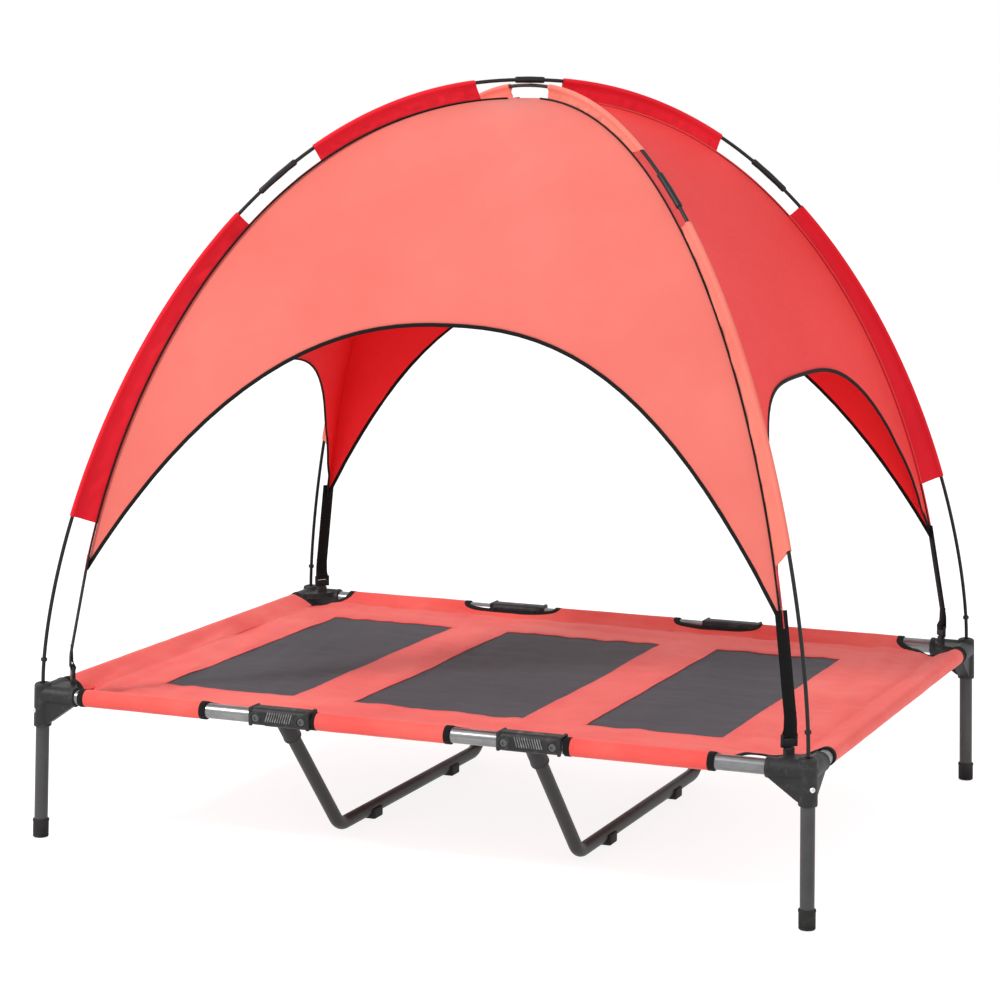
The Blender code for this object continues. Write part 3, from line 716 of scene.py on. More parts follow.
def model_cap():
    """Rubber foot: a waisted cup with a rolled lip and a ribbed tread edge."""
    outer = 0.0117
    levels = [(outer - 0.0028, 0.0), (outer - 0.0009, 0.0006), (outer, 0.0020), (outer, 0.0042),
              (outer - 0.0006, 0.0046), (outer - 0.0006, 0.0054), (outer, 0.0058),
              (outer, 0.0238), (outer + 0.0006, 0.0246), (outer + 0.0006, 0.0270),
              (outer, 0.0280), (leg_radius + 0.0004, 0.0280), (leg_radius + 0.0002, 0.0262)]
    return leaned(stacked("cap", levels, 40))


rail_ways = (Vector((1, 0, 0)), Vector((0, 1, 0)))
rail_level = Vector((0, 0, rail_height))
seat_way = -Vector((1, 1, 0)).normalized()


def add_sockets(body):
    """A socket for each rail, with a raised lip at its mouth."""
    for way in rail_ways:
        join(body, bar("socket", rail_level + way * 0.001, rail_level + way * socket_reach,
                       socket_radius, 40))
        join(body, bar("lip", rail_level + way * (socket_reach - 0.005),
                       rail_level + way * socket_reach, socket_radius + 0.0007, 40))


def add_gussets(body):
    """A slanted gusset from the column's foot out under each socket."""
    low, shoulder = bracket_foot, rail_height - socket_radius + 0.001
    for turned in (False, True):
        gusset = block("gusset", (0.001, -0.009, low + 0.0006),
                       (socket_reach - 0.004, 0.009, rail_height))
        editing(gusset)
        mark(gusset, "VERT", lambda _, place: place.x > 0.03 and place.z < low + 0.01)
        bpy.ops.transform.translate(value=(0, 0, shoulder - low - 0.0006))
        bpy.ops.mesh.select_all(action="SELECT")
        bpy.ops.mesh.bisect(plane_co=(column_radius - 0.001, 0, low), plane_no=(0.98, 0, -0.18),
                            clear_inner=False, clear_outer=False)
        mark(gusset, "VERT", lambda _, place: 0.011 < place.x < 0.02 and place.z < low + 0.02)
        bpy.ops.transform.translate(value=(0, 0, -0.0022))
        bpy.ops.object.mode_set(mode="OBJECT")
        if turned:
            moved(gusset, Matrix(((0, 1, 0, 0), (1, 0, 0, 0), (0, 0, 1, 0), (0, 0, 0, 1))))
        join(body, gusset)


def add_web_and_hook(body):
    """The quarter-round web between the rails, and the strap's hook standing on it."""
    plate = bar("plate", (0, 0, web_low), (0, 0, web_high), web_radius, 64)
    editing(plate)
    for normal in ((1, 0, 0), (0, 1, 0)):
        bpy.ops.mesh.select_all(action="SELECT")
        bpy.ops.mesh.bisect(plane_co=(0, 0, 0), plane_no=normal, clear_inner=True, use_fill=True)
    bpy.ops.object.mode_set(mode="OBJECT")
    join(body, plate)
    hook = block("hook", (-hook_width / 2, -hook_depth / 2, web_high - 0.002),
                 (hook_width / 2, hook_depth / 2, hook_top), 0.0012)
    inward = Vector((half_length, half_width, 0)) / half_diagonal
    across = Vector((inward.y, -inward.x, 0))
    turn = Matrix((across, inward, (0, 0, 1))).transposed().to_4x4()
    join(body, moved(hook, Matrix.Translation(inward * hook_distance) @ turn))


def bore_bracket(body):
    """The pole's pocket and bore, the rails' and the leg's bores, and the screw's seat."""
    pocket = stacked("pocket", [(0.0066, bracket_top - 0.0018), (0.0072, bracket_top + 0.002)], 32)
    cut(body, pocket)
    bore = bar("pole_bore", (0, 0, bracket_top - 0.03), (0, 0, bracket_top + 0.01), 0.0044, 24)
    cut(body, bore)
    for way in rail_ways:
        cut(body, bar("rail_bore", rail_level + way * 0.0222, rail_level + way * 0.07,
                      rail_radius + 0.0004, 40))
    cut(body, bar("leg_bore", leg_axis(bracket_foot - 0.01), leg_axis(bracket_foot + 0.02),
                  leg_radius + 0.0004, 40))
    middle = leg_axis(screw_height)
    cut(body, bar("screw_seat", middle + seat_way * (column_radius - 0.0009),
                  middle + seat_way * (column_radius + 0.01), 0.0046, 28))


def model_bracket():
    """Three-way corner moulding: a column for the leg and the pole, and a socket for each rail."""
    low = bracket_foot
    body = leaned(stacked("bracket", [(column_radius - 0.0006, low), (column_radius, low + 0.001),
                                      (column_radius, bracket_top - 0.004),
                                      (column_radius - 0.0012, bracket_top - 0.0012),
                                      (column_radius - 0.0042, bracket_top)], 48))
    add_sockets(body)
    add_gussets(body)
    add_web_and_hook(body)
    bore_bracket(body)
    return moulded(body, 0.00075, 5, 0.4)


def model_screw():
    """Pan-head leg screw with a cross recess, on the outer diagonal of the column."""
    head = stacked("screw", [(0.0040, -0.0012), (0.0040, 0.0002), (0.0036, 0.0009),
                             (0.0026, 0.0014), (0.0008, 0.0016)], 28)
    for turn in (0, 90):
        slot = block("slot", (-0.0021, -0.0004, 0.0006), (0.0021, 0.0004, 0.003))
        cut(head, moved(slot, Matrix.Rotation(math.radians(turn), 4, "Z")))
    middle = leg_axis(screw_height) + seat_way * (column_radius - 0.0006)
    facing = seat_way.to_track_quat("Z", "Y").to_matrix().to_4x4()
    return moved(head, Matrix.Translation(middle) @ facing)


def build_corners():
    leg = tube("leg", leg_axis(0.0036), leg_axis(rail_height - rail_radius - 0.0086),
               leg_radius, tube_wall)
    models = (("foot", model_cap(), "rubber", "foot_rubber", 35, "foot_cap"),
              ("post", leg, "leg", "leg", 35, "leg"),
              ("corner", model_bracket(), "plastic", "frame_plastic", None, "bracket"),
              ("leg_screw", model_screw(), "screw", "bolt", 30, None))
    for corner, side_name, side, front in corners:
        for name, model, finish, slot, angle, node in models:
            twin = copied(model, f"{name}_{corner}", to_corner(side, front))
            fitted(twin, finish, angle, f"{side_name}_end", node and f"{node}_{corner}")
    discard(*(model for _, model, *_ in models))


# ---- rails ----

def build_rails():
    middle_end = connector_place - bolt_offset + 0.013
    inner_end = connector_place + bolt_offset - 0.007
    outer_end = half_length - rail_inset
    runs = []
    for front_name, front in fronts:
        y = front * half_width
        runs.append((f"rail_middle_{front_name}", (-middle_end, y), (middle_end, y),
                     "middle_frame", f"middle_rail_{front_name}"))
        runs += [(f"rail_{front_name}_{name}", (side * inner_end, y), (side * outer_end, y),
                  f"{name}_end", f"side_rail_{front_name}_{name}") for name, side in sides]
    reach = half_width - rail_inset
    runs += [(f"rail_end_{name}", (side * half_length, -reach), (side * half_length, reach),
              f"{name}_end", f"end_rail_{name}") for name, side in sides]
    for name, start, end, body, node in runs:
        rail = tube(name, (*start, rail_height), (*end, rail_height), rail_radius, tube_wall)
        fitted(rail, "rail", 35, body, node)


# ---- connectors and their bolts ----

def leg_way():
    return Vector((0, math.sin(leg_slant), -math.cos(leg_slant)))


def model_connector():
    """Two-bolt rail joint: chamfered box, flared collars, bolt bosses, recesses for grip ribs, leg
    socket.
    """
    half = connector_length / 2
    body = block("connector", (-half + 0.001, -0.015, -0.0125), (half - 0.001, 0.015, 0.0145),
                 0.0078, 5)
    for end in (-1, 1):
        low, high = sorted((end * half, end * (half - 0.006)))
        join(body, block("collar", (low, -0.0158, -0.0128), (high, 0.0158, 0.0152),
                         0.0026, 3))
        join(body, bar("boss", (end * bolt_offset, -boss_face, 0),
                       (end * bolt_offset, boss_face, 0), boss_radius, 36, 0.0008))
    way = leg_way()
    join(body, bar("socket", way * 0.002, way * middle_socket_reach,
                   middle_socket_radius, 40))
    join(body, bar("socket_lip", way * (middle_socket_reach - 0.004),
                   way * middle_socket_reach, middle_socket_radius + 0.0006, 40))
    panel = block("panel", (-0.0215, -0.02, -0.0062), (0.0215, -0.0146, 0.0112), 0.0012)
    cut(body, panel)
    lid = block("lid", (-0.0215, -0.0070, 0.0138), (0.0215, 0.0070, 0.02), 0.0008)
    cut(body, lid)
    cut(body, bar("middle_rail_way", (-half - 0.01, 0, 0), (-bolt_offset + 0.012, 0, 0),
                  rail_radius + 0.0004, 40))
    cut(body, block("swing_way", (bolt_offset - 0.0125, -0.0115, -0.03),
                    (half + 0.01, 0.0115, 0.0128)))
    cut(body, bar("leg_way", way * 0.010, way * 0.06, leg_radius + 0.0004, 40))
    for end in (-1, 1):
        for outward in (-1, 1):
            cut(body, bar("recess", (end * bolt_offset, outward * (boss_face - 0.003), 0),
                          (end * bolt_offset, outward * (boss_face + 0.01), 0),
                          0.0064, 32))
    return moulded(body, 0.0007, 4, 0.4)


def model_ribs():
    """Slanted grip ribs in the recess on the outer face, and straight ones on the top."""
    ribs = []
    for k in range(11):
        x = -0.0185 + 0.0037 * k
        rib = block("rib", (-0.0008, -0.0154, -0.0050), (0.0008, -0.0142, 0.0098), 0.0004, 2)
        lean = Matrix.Rotation(math.radians(-17), 4, "Y")
        ribs.append(moved(rib, Matrix.Translation((x, 0, 0.0024)) @ lean
                          @ Matrix.Translation((0, 0, -0.0024))))
        rib = block("rib", (-0.0008, -0.0060, 0.0134), (0.0008, 0.0060, 0.0147), 0.0004, 2)
        ribs.append(moved(rib, Matrix.Translation((x, 0, 0))))
    return merged("ribs", ribs)


def model_bolt():
    """A shank with a low domed head and a hexagonal recess at each end, along Y."""
    seat = boss_face - 0.003 + 0.0003
    top = seat + 0.0022
    levels = [(0.003, -seat), (0.003, seat), (0.0058, seat + 0.0001), (0.0060, seat + 0.0008),
              (0.0056, top - 0.0004), (0.0046, top)]
    bolt = stacked("bolt", levels, 32)
    other = copied(bolt, "other_head", Matrix.Diagonal((1, 1, -1, 1)))
    join(bolt, other)
    for end in (-1, 1):
        hexagon = bar("hexagon", (0, 0, end * (top - 0.0014)), (0, 0, end * (top + 0.002)),
                      0.0026, 6)
        cut(bolt, hexagon)
    return moved(bolt, Matrix.Rotation(math.radians(90), 4, "X"))


def build_connectors():
    connector, ribs, bolt = model_connector(), model_ribs(), model_bolt()
    for corner, _, side, front in corners:
        place = to_connector(side, front)
        fitted(copied(connector, f"rail_joint_{corner}", place), "plastic",
               None, "middle_frame", f"connector_{corner}")
        # the ribs' lighter finish is a painted highlight
        fitted(copied(ribs, f"grip_ribs_{corner}", place), "rib",
               40, "middle_frame")
        for kind, end in (("pivot", 1), ("fixing", -1)):
            spot = place @ Matrix.Translation((end * bolt_offset, 0, 0))
            fitted(copied(bolt, f"bolt_{kind}_{corner}", spot), "bolt",
                   30, "middle_frame", f"{kind}_bolt_{corner}")
    discard(connector, ribs, bolt)


# ---- middle legs ----

def middle_leg_line():
    """From one connector down to the floor bar and up to the other, as (y, z)."""
    drop = rail_height - bar_height
    turn = math.pi / 2 - leg_slant
    corner = half_width - drop * math.tan(leg_slant)
    centre_y = corner - middle_bend * math.tan(turn / 2)
    centre_z = bar_height + middle_bend
    bend = [(centre_y + middle_bend * math.sin(turn * i / 10),
             centre_z - middle_bend * math.cos(turn * i / 10)) for i in range(11)]
    start = (half_width - middle_leg_start * math.sin(leg_slant),
             rail_height - middle_leg_start * math.cos(leg_slant))
    right = [start] + bend[::-1]
    return [(-y, z) for y, z in right] + right[::-1]


def model_shoe():
    """Rubber shoe snapped under the floor bar, with lips that grip it."""
    reach = leg_radius + 0.0035
    shoe = block("shoe", (-reach, -0.015, 0), (reach, 0.015, bar_height + 0.0025), 0.0022, 3)
    cut(shoe, bar("bar_way", (0, -0.03, bar_height), (0, 0.03, bar_height),
                  leg_radius + 0.0003, 40))
    for y in (-0.0075, 0.0, 0.0075):
        groove = block("groove", (-0.02, y - 0.0007, -0.001), (0.02, y + 0.0007, 0.0009))
        cut(shoe, groove)
    return shoe


def build_middle_legs():
    shoe = model_shoe()
    for side_name, side in sides:
        x = side * connector_place
        path = [Vector((x, y, z)) for y, z in middle_leg_line()]
        leg = swept(f"u_leg_{side_name}", path, [Vector((1, 0, 0))] * len(path),
                    lambda _: ring(leg_radius, 40))
        fitted(leg, "middle_leg", 35, "middle_frame", f"middle_leg_{side_name}")
        for front_name, front in fronts:
            piece = copied(shoe, f"bar_shoe_{front_name}_{side_name}",
                           Matrix.Translation((x, front * shoe_spread / 2, 0)))
            fitted(piece, "rubber", 30, "middle_frame",
                   f"middle_shoe_{front_name}_{side_name}")
    discard(shoe)


# ---- canopy: poles, ferrules, cover, sleeves, piping, straps ----

up = Vector((0, 0, 1))


def diagonal(side, front):
    return Vector((side * half_length, front * half_width, 0)) / half_diagonal


def arch_point(reach, top, roundness, fullness, turn):
    return (reach * max(0.0, math.cos(turn)) ** (2 / roundness),
            bracket_top + (top - bracket_top) * math.sin(turn) ** (2 / fullness))


def pole_at(turn, top):
    return arch_point(half_diagonal, top, pole_roundness, pole_fullness, turn)


def seam_at(turn):
    return arch_point(seam_reach, seam_height, seam_roundness, seam_fullness, turn)


def pole_turn(reach):
    return math.acos((reach / half_diagonal) ** (pole_roundness / 2))


def seam_turn(reach):
    return math.acos((reach / seam_reach) ** (seam_roundness / 2))


def tip_turn():
    share = (cover_tip - bracket_top) / (seam_height - bracket_top)
    return math.pi / 2 - math.acos(share ** (seam_fullness / 2))


def in_plane(way, point):
    return way * point[0] + up * point[1]


def pole_top(side, front):
    """The upper pole runs front left to back right, and the lower one the other way."""
    return pole_height if side == front else lower_pole_height


def turned_on_pole(name, line, normal, radii, node=None):
    """A turned sleeve on a pole, with a radius for each point of its line."""
    piece = swept(name, line, [normal] * len(line), lambda i: ring(radii[i], 24))
    return fitted(piece, "ferrule", 35, "canopy", node)


def build_poles():
    radii = (0.0032, 0.0043, 0.0048, 0.0045, 0.0048, 0.0048, 0.0045, 0.0048, 0.0043, 0.0032)
    spots = (0, 0.0008, 0.0025, 0.014, 0.0285, 0.0335, 0.048, 0.0595, 0.0612, 0.062)
    for name, front, top in (("upper", 1, pole_height), ("lower", -1, lower_pole_height)):
        turns = [math.pi / 2 * i / 90 for i in range(91)]
        right = [in_plane(diagonal(1, front), pole_at(turn, top)) for turn in turns]
        left = [in_plane(diagonal(-1, -front), pole_at(turn, top)) for turn in turns]
        path = [left[0] - up * pole_foot] + left + right[-2::-1] + [right[0] - up * pole_foot]
        normal = diagonal(1, front).cross(up)
        pole = swept(f"bent_pole_{name}", path, [normal] * len(path),
                     lambda _: ring(pole_radius, 16))
        fitted(pole, "pole", 40, "canopy", f"canopy_pole_{name}")
        for side_name, side in sides:
            way = diagonal(side, side * front)
            low, high = (pole_turn(ferrule_reach + e * ferrule_length * 0.43) for e in (1, -1))
            line = resampled([in_plane(way, pole_at(mixed(low, high, i / 30), top))
                              for i in range(31)], 0.001)
            line = [line[round(s / ferrule_length * (len(line) - 1))] for s in spots]
            turned_on_pole(f"ferrule_{name}_{side_name}", line, normal, radii,
                           f"pole_ferrule_{name}_{side_name}")
            base = pole_turn_at_rise(stop_rise, top)
            line = [in_plane(way, pole_at(base + 0.0105 * s, top))
                    for s in (-0.5, -0.42, -0.3, 0.3, 0.42, 0.5)]
            turned_on_pole(f"pole_stop_{name}_{side_name}", line, normal,
                           (0.0030, 0.0042, 0.0047, 0.0047, 0.0042, 0.0030))
    reach = crown_ferrule_length / 2
    line = [in_plane(diagonal(-1, -1), pole_at(pole_turn(reach * s), pole_height))
            for s in (1, 0.96, 0.88, 0.45)]
    line += [Vector((0, 0, pole_height))]
    line += [Vector((-p.x, -p.y, p.z)) for p in line[-2::-1]]
    turned_on_pole("ferrule_crown", line, diagonal(1, 1).cross(up),
                   (0.0032, 0.0043, 0.0048, 0.0048, 0.0050, 0.0048, 0.0048, 0.0043, 0.0032),
                   "pole_ferrule_crown")


def pole_turn_at_rise(rise, top):
    return math.pi / 2 - math.acos((rise / (top - bracket_top)) ** (pole_fullness / 2))


def opening_height(share, top, fullness):
    return cover_tip + (top - cover_tip) * (1 - min(1.0, abs(share)) ** fullness)


def lowest_turn(column, top, fullness):
    """How far down the seam a column of a panel runs before it meets its arched opening."""
    low, high = tip_turn(), math.pi / 2
    tip_reach = seam_at(low)[0]
    for _ in range(40):
        turn = (low + high) / 2
        reach, height = seam_at(turn)
        if height > opening_height(column * reach / tip_reach, top, fullness):
            high = turn
        else:
            low = turn
    return high


panel_ways = {"front": (Vector((0, -1, 0)), Vector((1, 0, 0))),
              "right": (Vector((1, 0, 0)), Vector((0, 1, 0))),
              "back": (Vector((0, 1, 0)), Vector((-1, 0, 0))),
              "left": (Vector((-1, 0, 0)), Vector((0, -1, 0)))}
panel_columns, panel_rows = 48, 72


def panel_line(name, column):
    """One line of a panel from the crown down to its opening, as (place, flat place)."""
    facing, sideways = panel_ways[name]
    top, fullness, bow = arches[name]
    long_way = name in ("front", "back")
    along, deep = half_length / half_diagonal, half_width / half_diagonal
    across_share, out_share = (along, deep) if long_way else (deep, along)
    low = lowest_turn(column, top, fullness)
    seam_depth = side_pucker if long_way else end_pucker
    line, travelled, last = [], 0.0, None
    for j in range(panel_rows + 1):
        share = j / panel_rows
        turn = mixed(math.pi / 2, low, share)
        reach, height = seam_at(turn)
        inner = 1 - column * column
        spot = (facing * out_share * reach + sideways * column * across_share * reach
                + up * height)
        spread = smoothstep(0.05, 0.35, reach)
        spot -= facing * bow * inner * spread
        spot -= up * 0.004 * inner * (1 - spread) * smoothstep(0.0, 0.04, reach)
        gather = inner * smoothstep(0.0, 0.10, 1 - abs(column)) * spread
        gather *= 1 - 0.8 * smoothstep(0.80, 1.0, share)
        crease = noise.noise(Vector((spot.x * 5, spot.y * 5, spot.z * 2.2)))
        slant = height * 30 + (1 - abs(column)) * 7
        seam_pull = (noise.noise(Vector((slant, column * 2.0, 3.1 if long_way else 7.7)))
                     * (1 - smoothstep(0.02, 0.30, 1 - abs(column)))
                     * smoothstep(0.0, 0.05, 1 - abs(column)))
        spot += facing * (crease * 0.0022 * gather + seam_pull * seam_depth * spread)
        if last is not None:
            travelled += (spot - last).length
        last = spot
        line.append((spot, (column * across_share * reach, travelled)))
    return line


def build_cover():
    """One continuous sheet over the four seams, from the crown down to the four arches."""
    verts, faces, flats = [seam_crown()], [], []
    corner_lines, edges = [], {}
    columns = [-math.cos(math.pi * i / panel_columns) for i in range(panel_columns + 1)]
    for p, name in enumerate(panel_ways):
        lines = []
        for i, column in enumerate(columns):
            line = panel_line(name, column)
            if i == 0 and corner_lines:
                numbers = corner_lines[-1]
            elif i == panel_columns and p == 3:
                numbers = corner_lines[0]
            else:
                numbers = [0] + list(range(len(verts), len(verts) + panel_rows))
                verts += [spot for spot, _ in line[1:]]
            if i == 0 and not corner_lines or i == panel_columns:
                corner_lines.append(numbers)
            lines.append((numbers, [flat for _, flat in line]))
        for (a, fa), (b, fb) in zip(lines, lines[1:]):
            for j in range(panel_rows):
                if j == 0:
                    faces.append((0, a[1], b[1]))
                    flats.append([fa[0], fa[1], fb[1]])
                else:
                    faces.append((a[j], a[j + 1], b[j + 1], b[j]))
                    flats.append([fa[j], fa[j + 1], fb[j + 1], fb[j]])
        edges[name] = [(verts[n[-1]], verts[n[-2]]) for n, _ in lines]
    cover = from_faces("canopy_cover", verts, faces, flats)
    # marks the end panels, which the canopy finish paints deeper as painted shade
    end_panel = cover.data.attributes.new("end_panel", "FLOAT", "FACE")
    share = len(faces) // len(panel_ways)
    for i, name in enumerate(panel_ways):
        for k in range(share):
            end_panel.data[i * share + k].value = float(name in ("left", "right"))
    area = sum(polygon.area for polygon in cover.data.polygons)
    dressed(cover, finishes["canopy"])
    wall = cover.modifiers.new("wall", "SOLIDIFY")
    wall.thickness, wall.offset = 0.0009, 0
    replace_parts(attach(cover, "canopy"), *(f"canopy_{name}" for name in panel_ways))
    return cover, edges, area


def seam_crown():
    return Vector((0, 0, seam_height))


def cover_spans():
    """How far apart the four tips lie, along and across, with every seam laid out straight."""
    seam = [spot for spot, _ in panel_line("front", 1.0)]
    reach = sum((b - a).length for a, b in zip(seam, seam[1:]))
    way = diagonal(1, 1)
    return 2 * reach * way.x, 2 * reach * way.y


tape_profile = [(-0.0012, -0.0005), (-0.0012, 0.0005), (-0.0006, 0.0011), (0.0040, 0.0011),
                (0.0044, 0.0008), (0.0044, -0.0008), (0.0040, -0.0011), (-0.0006, -0.0011)]


def bind_edge(name, line, inwards, width=1.0):
    """A folded tape over a cloth edge."""
    profile = [(a * width, b) for a, b in tape_profile]
    tape = swept(name, line, inwards, lambda _: profile)
    return dressed(tape, finishes["binding"], 50)


def build_arch_bindings(edges):
    made = []
    for name, edge in edges.items():
        line = resampled([spot for spot, _ in edge], 0.009)
        inner = resampled([above for _, above in edge], 0.009)
        inwards = []
        for i, spot in enumerate(line):
            near = inner[min(len(inner) - 1, round(i * (len(inner) - 1) / (len(line) - 1)))]
            facing, _ = panel_ways[name]
            way = (line[min(i + 1, len(line) - 1)] - line[max(i - 1, 0)]).normalized()
            inward = facing.cross(way)
            if inward.dot(up * 0.4 + (near - spot).normalized()) < 0:
                inward = -inward
            inwards.append(inward)
        made.append(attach(bind_edge(f"arch_tape_{name}", line, inwards), "canopy"))
    return made


# each sleeve's ends, as the reach of (pole, seam): lower end, upper end, then the crown pair
sleeves = {(-1, -1): (((0.692, 0.655), (0.443, 0.425)), ((0.330, 0.318), (0.085, 0.075))),
           (1, 1): (((0.686, 0.650), (0.437, 0.417)), ((0.305, 0.297), (0.052, 0.046))),
           (1, -1): (((0.684, 0.653), (0.431, 0.412)), ((0.311, 0.284), (0.058, 0.052))),
           (-1, 1): (((0.685, 0.655), (0.437, 0.417)), ((0.320, 0.300), (0.058, 0.052)))}


def sleeve_ring(side, front, share, outer, inner):
    """Round a fin: up one face from the seam, round the hem on the pole and down the other."""
    square = diagonal(side, front).cross(up)
    across = outer - inner
    flat_width = max(0.004, across.length - 0.0072)
    across.normalize()
    steps = [0.0, 0.2, 0.4, 0.6, 0.8, 1.0]
    wave = [math.sin(math.pi * s) * 0.0032
            * noise.noise(Vector((share * 26 + side * 5, s * 1.5, front * 3.0)))
            for s in steps]
    near, far = ([inner + across * flat_width * s + square * (w + half)
                  for s, w in zip(steps, wave)] for half in (0.0008, -0.0008))
    hem = [outer + across * 0.0044 * math.cos(a) + square * 0.0044 * math.sin(a)
           for a in (math.radians(140 - 28 * k) for k in range(11))]
    return near + hem + far[::-1]


def build_sleeves():
    """Cloth fins from the seams out to the poles, each with a hem that the pole runs in."""
    made = []
    for corner, _, side, front in corners:
        way, top = diagonal(side, front), pole_top(side, front)
        parts = zip(("lower", "upper"), sleeves[side, front])
        for part, ((pole_low, seam_low), (pole_high, seam_high)) in parts:
            on_pole = pole_turn(pole_low), pole_turn(pole_high)
            on_seam = seam_turn(seam_low), seam_turn(seam_high)
            rings = []
            for share in (i / 64 for i in range(65)):
                outer = in_plane(way, pole_at(mixed(*on_pole, share), top))
                inner = in_plane(way, seam_at(mixed(*on_seam, share)))
                rings.append(sleeve_ring(side, front, share, outer, inner))
            fin = ringed(f"pole_sleeve_{part}_{corner}", rings)
            # front-left and back-right sleeves take the shaded copy as painted shade, the other two
            # the lit copy as painted light
            made.append(fitted(fin, "fin" if side == front else "lit_fin", 50,
                               "canopy"))
    return made


def seam_line(side, front, shift, outward):
    """Along a seam, shifted to one side of it and lifted off it."""
    way = diagonal(side, front)
    line = []
    for i in range(121):
        turn = mixed(tip_turn() - 0.004, math.pi / 2 - 0.035, i / 120)
        reach, height = seam_at(turn)
        after, before = seam_at(turn + 0.004), seam_at(turn - 0.004)
        slope = Vector((after[0] - before[0], after[1] - before[1])).normalized()
        line.append(way * (reach + slope.y * outward) + up * (height - slope.x * outward) + shift)
    return line


def build_seams():
    made = []
    for corner, _, side, front in corners:
        square = diagonal(side, front).cross(up)
        for kind, shift, radius, finish, slot in (
                ("piping", Vector((0, front * 0.0030, 0)), 0.0014, "binding", "binding"),
                ("seam_ridge", Vector((side * 0.0030, 0, 0)), 0.0010, "red_thread",
                 "canopy_cloth")):
            line = seam_line(side, front, shift, 0.0006)
            piece = swept(f"{kind}_{corner}", line, [square] * len(line),
                          lambda _: ring(radius, 12))
            made.append(fitted(piece, finish, 60, "canopy"))
    return made


def model_clip():
    """Ladder-lock clip: a rounded plate with a strap slot and a ribbed thumb edge."""
    plate = block("clip", (-clip_width / 2, -0.0025, 0), (clip_width / 2, 0.0025, clip_height),
                  0.0011, 3)
    slot_half = clip_width / 2 - clip_bar * 0.8
    slot = block("slot", (-slot_half, -0.01, clip_height - clip_bar - 0.0030),
                 (slot_half, 0.01, clip_height - clip_bar), 0.0006)
    cut(plate, slot)
    for k in range(4):
        groove = block("groove", (-0.008, -0.0030, 0.0009 + k * 0.0009),
                       (0.008, -0.0022, 0.0013 + k * 0.0009))
        cut(plate, groove)
    return plate


def strap_route(foot, bar_middle):
    """From the cover's tip down to the clip, round its bar and up to the tail, as (reach, height)."""
    tip = seam_at(tip_turn())[0]
    bottom = bar_middle - 0.0032
    return [(tip - 0.0020, cover_tip + 0.021),
            (foot + 0.0030, 0.2720), (foot + 0.0036, bar_middle + 0.002),
            (foot + 0.0036, bottom + 0.0012), (foot + 0.0022, bottom - 0.0004),
            (foot - 0.0022, bottom - 0.0004), (foot - 0.0036, bottom + 0.0012),
            (foot - 0.0034, bar_middle + 0.0008), (foot + 0.0008, 0.2630),
            (foot + 0.0012, 0.2860)]


def build_straps():
    clip = model_clip()
    foot = half_diagonal - hook_distance
    clip_low = hook_top + 0.0003
    route = strap_route(foot, clip_low + clip_height - clip_bar / 2)
    half, thick = strap_width / 2, 0.0008
    section = [(-half, -thick * 0.5), (-half + 0.0006, -thick), (half - 0.0006, -thick),
               (half, -thick * 0.5), (half, thick * 0.5), (half - 0.0006, thick),
               (-half + 0.0006, thick), (-half, thick * 0.5)]
    for corner, _, side, front in corners:
        way = diagonal(side, front)
        across = way.cross(up)
        turn = Matrix((across, way, up)).transposed().to_4x4()
        piece = copied(clip, f"strap_lock_{corner}",
                       Matrix.Translation(way * foot + up * clip_low) @ turn)
        fitted(piece, "clip", 35, "canopy", f"strap_clip_{corner}")
        line = resampled([in_plane(way, spot) for spot in route], 0.004)
        strap = swept(f"corner_strap_{corner}", line, [across] * len(line), lambda _: section)
        fitted(strap, "strap", 50, "canopy", f"strap_{corner}")
    discard(clip)


# ---- bed: cloth with rail sleeves, mesh windows, tapes and stitching ----

hem_reach = 0.036
sleeve_radius = 0.0123
bed_deep = half_width - hem_reach
bed_long = half_length - hem_reach
cut_line = 0.020
front_tabs = ((-0.519, -0.313), (-0.143, 0.070), (0.243, 0.455))
back_tabs = ((-0.506, -0.281), (-0.121, 0.098), (0.236, 0.481))
end_tabs = {"left": (-0.385, 0.389), "right": (-0.365, 0.386)}
left_cut, right_cut = -0.195, 0.165
window_deep = 0.300
mesh_lap = 0.012            # how far a mesh runs under the cloth round its window
hem_rows, row_end = (0.0015, 0.0060), 0.006
fine_crease, end_fold, rail_fold, corner_fan = 0.0006, 0.0066, 0.0022, 0.0036
slack_corner, slack_dip = (1, -1), 0.018    # where the cloth hangs fuller, and by how much
windows = {"left": (-0.465, -0.248), "middle": (-0.151, 0.117), "right": (0.213, 0.418)}
to_axis = Vector((hem_reach, rail_height - bed_level))
axis_tilt = math.atan2(to_axis.y, to_axis.x)
axis_half = math.asin(sleeve_radius / to_axis.length)
tangent = math.sqrt(to_axis.length ** 2 - sleeve_radius ** 2)
arc_turn = math.pi + 2 * axis_half
wrap_length = 2 * tangent + sleeve_radius * arc_turn


def wrap(t):
    """Where the cloth is, t beyond the hem line: up to the rail, round it and back to the hem."""
    rise = axis_tilt + axis_half
    fall = axis_tilt - axis_half
    if t <= tangent:
        return Vector((math.cos(rise), math.sin(rise))) * t
    round_it = (t - tangent) / sleeve_radius
    if round_it <= arc_turn:
        angle = rise + math.pi / 2 - round_it
        return to_axis + Vector((math.cos(angle), math.sin(angle))) * sleeve_radius
    left = max(0.0, wrap_length - t)
    return (Vector((math.cos(fall), math.sin(fall))) * left
            - Vector((0, 0.0012)) * smoothstep(tangent, 0, left))


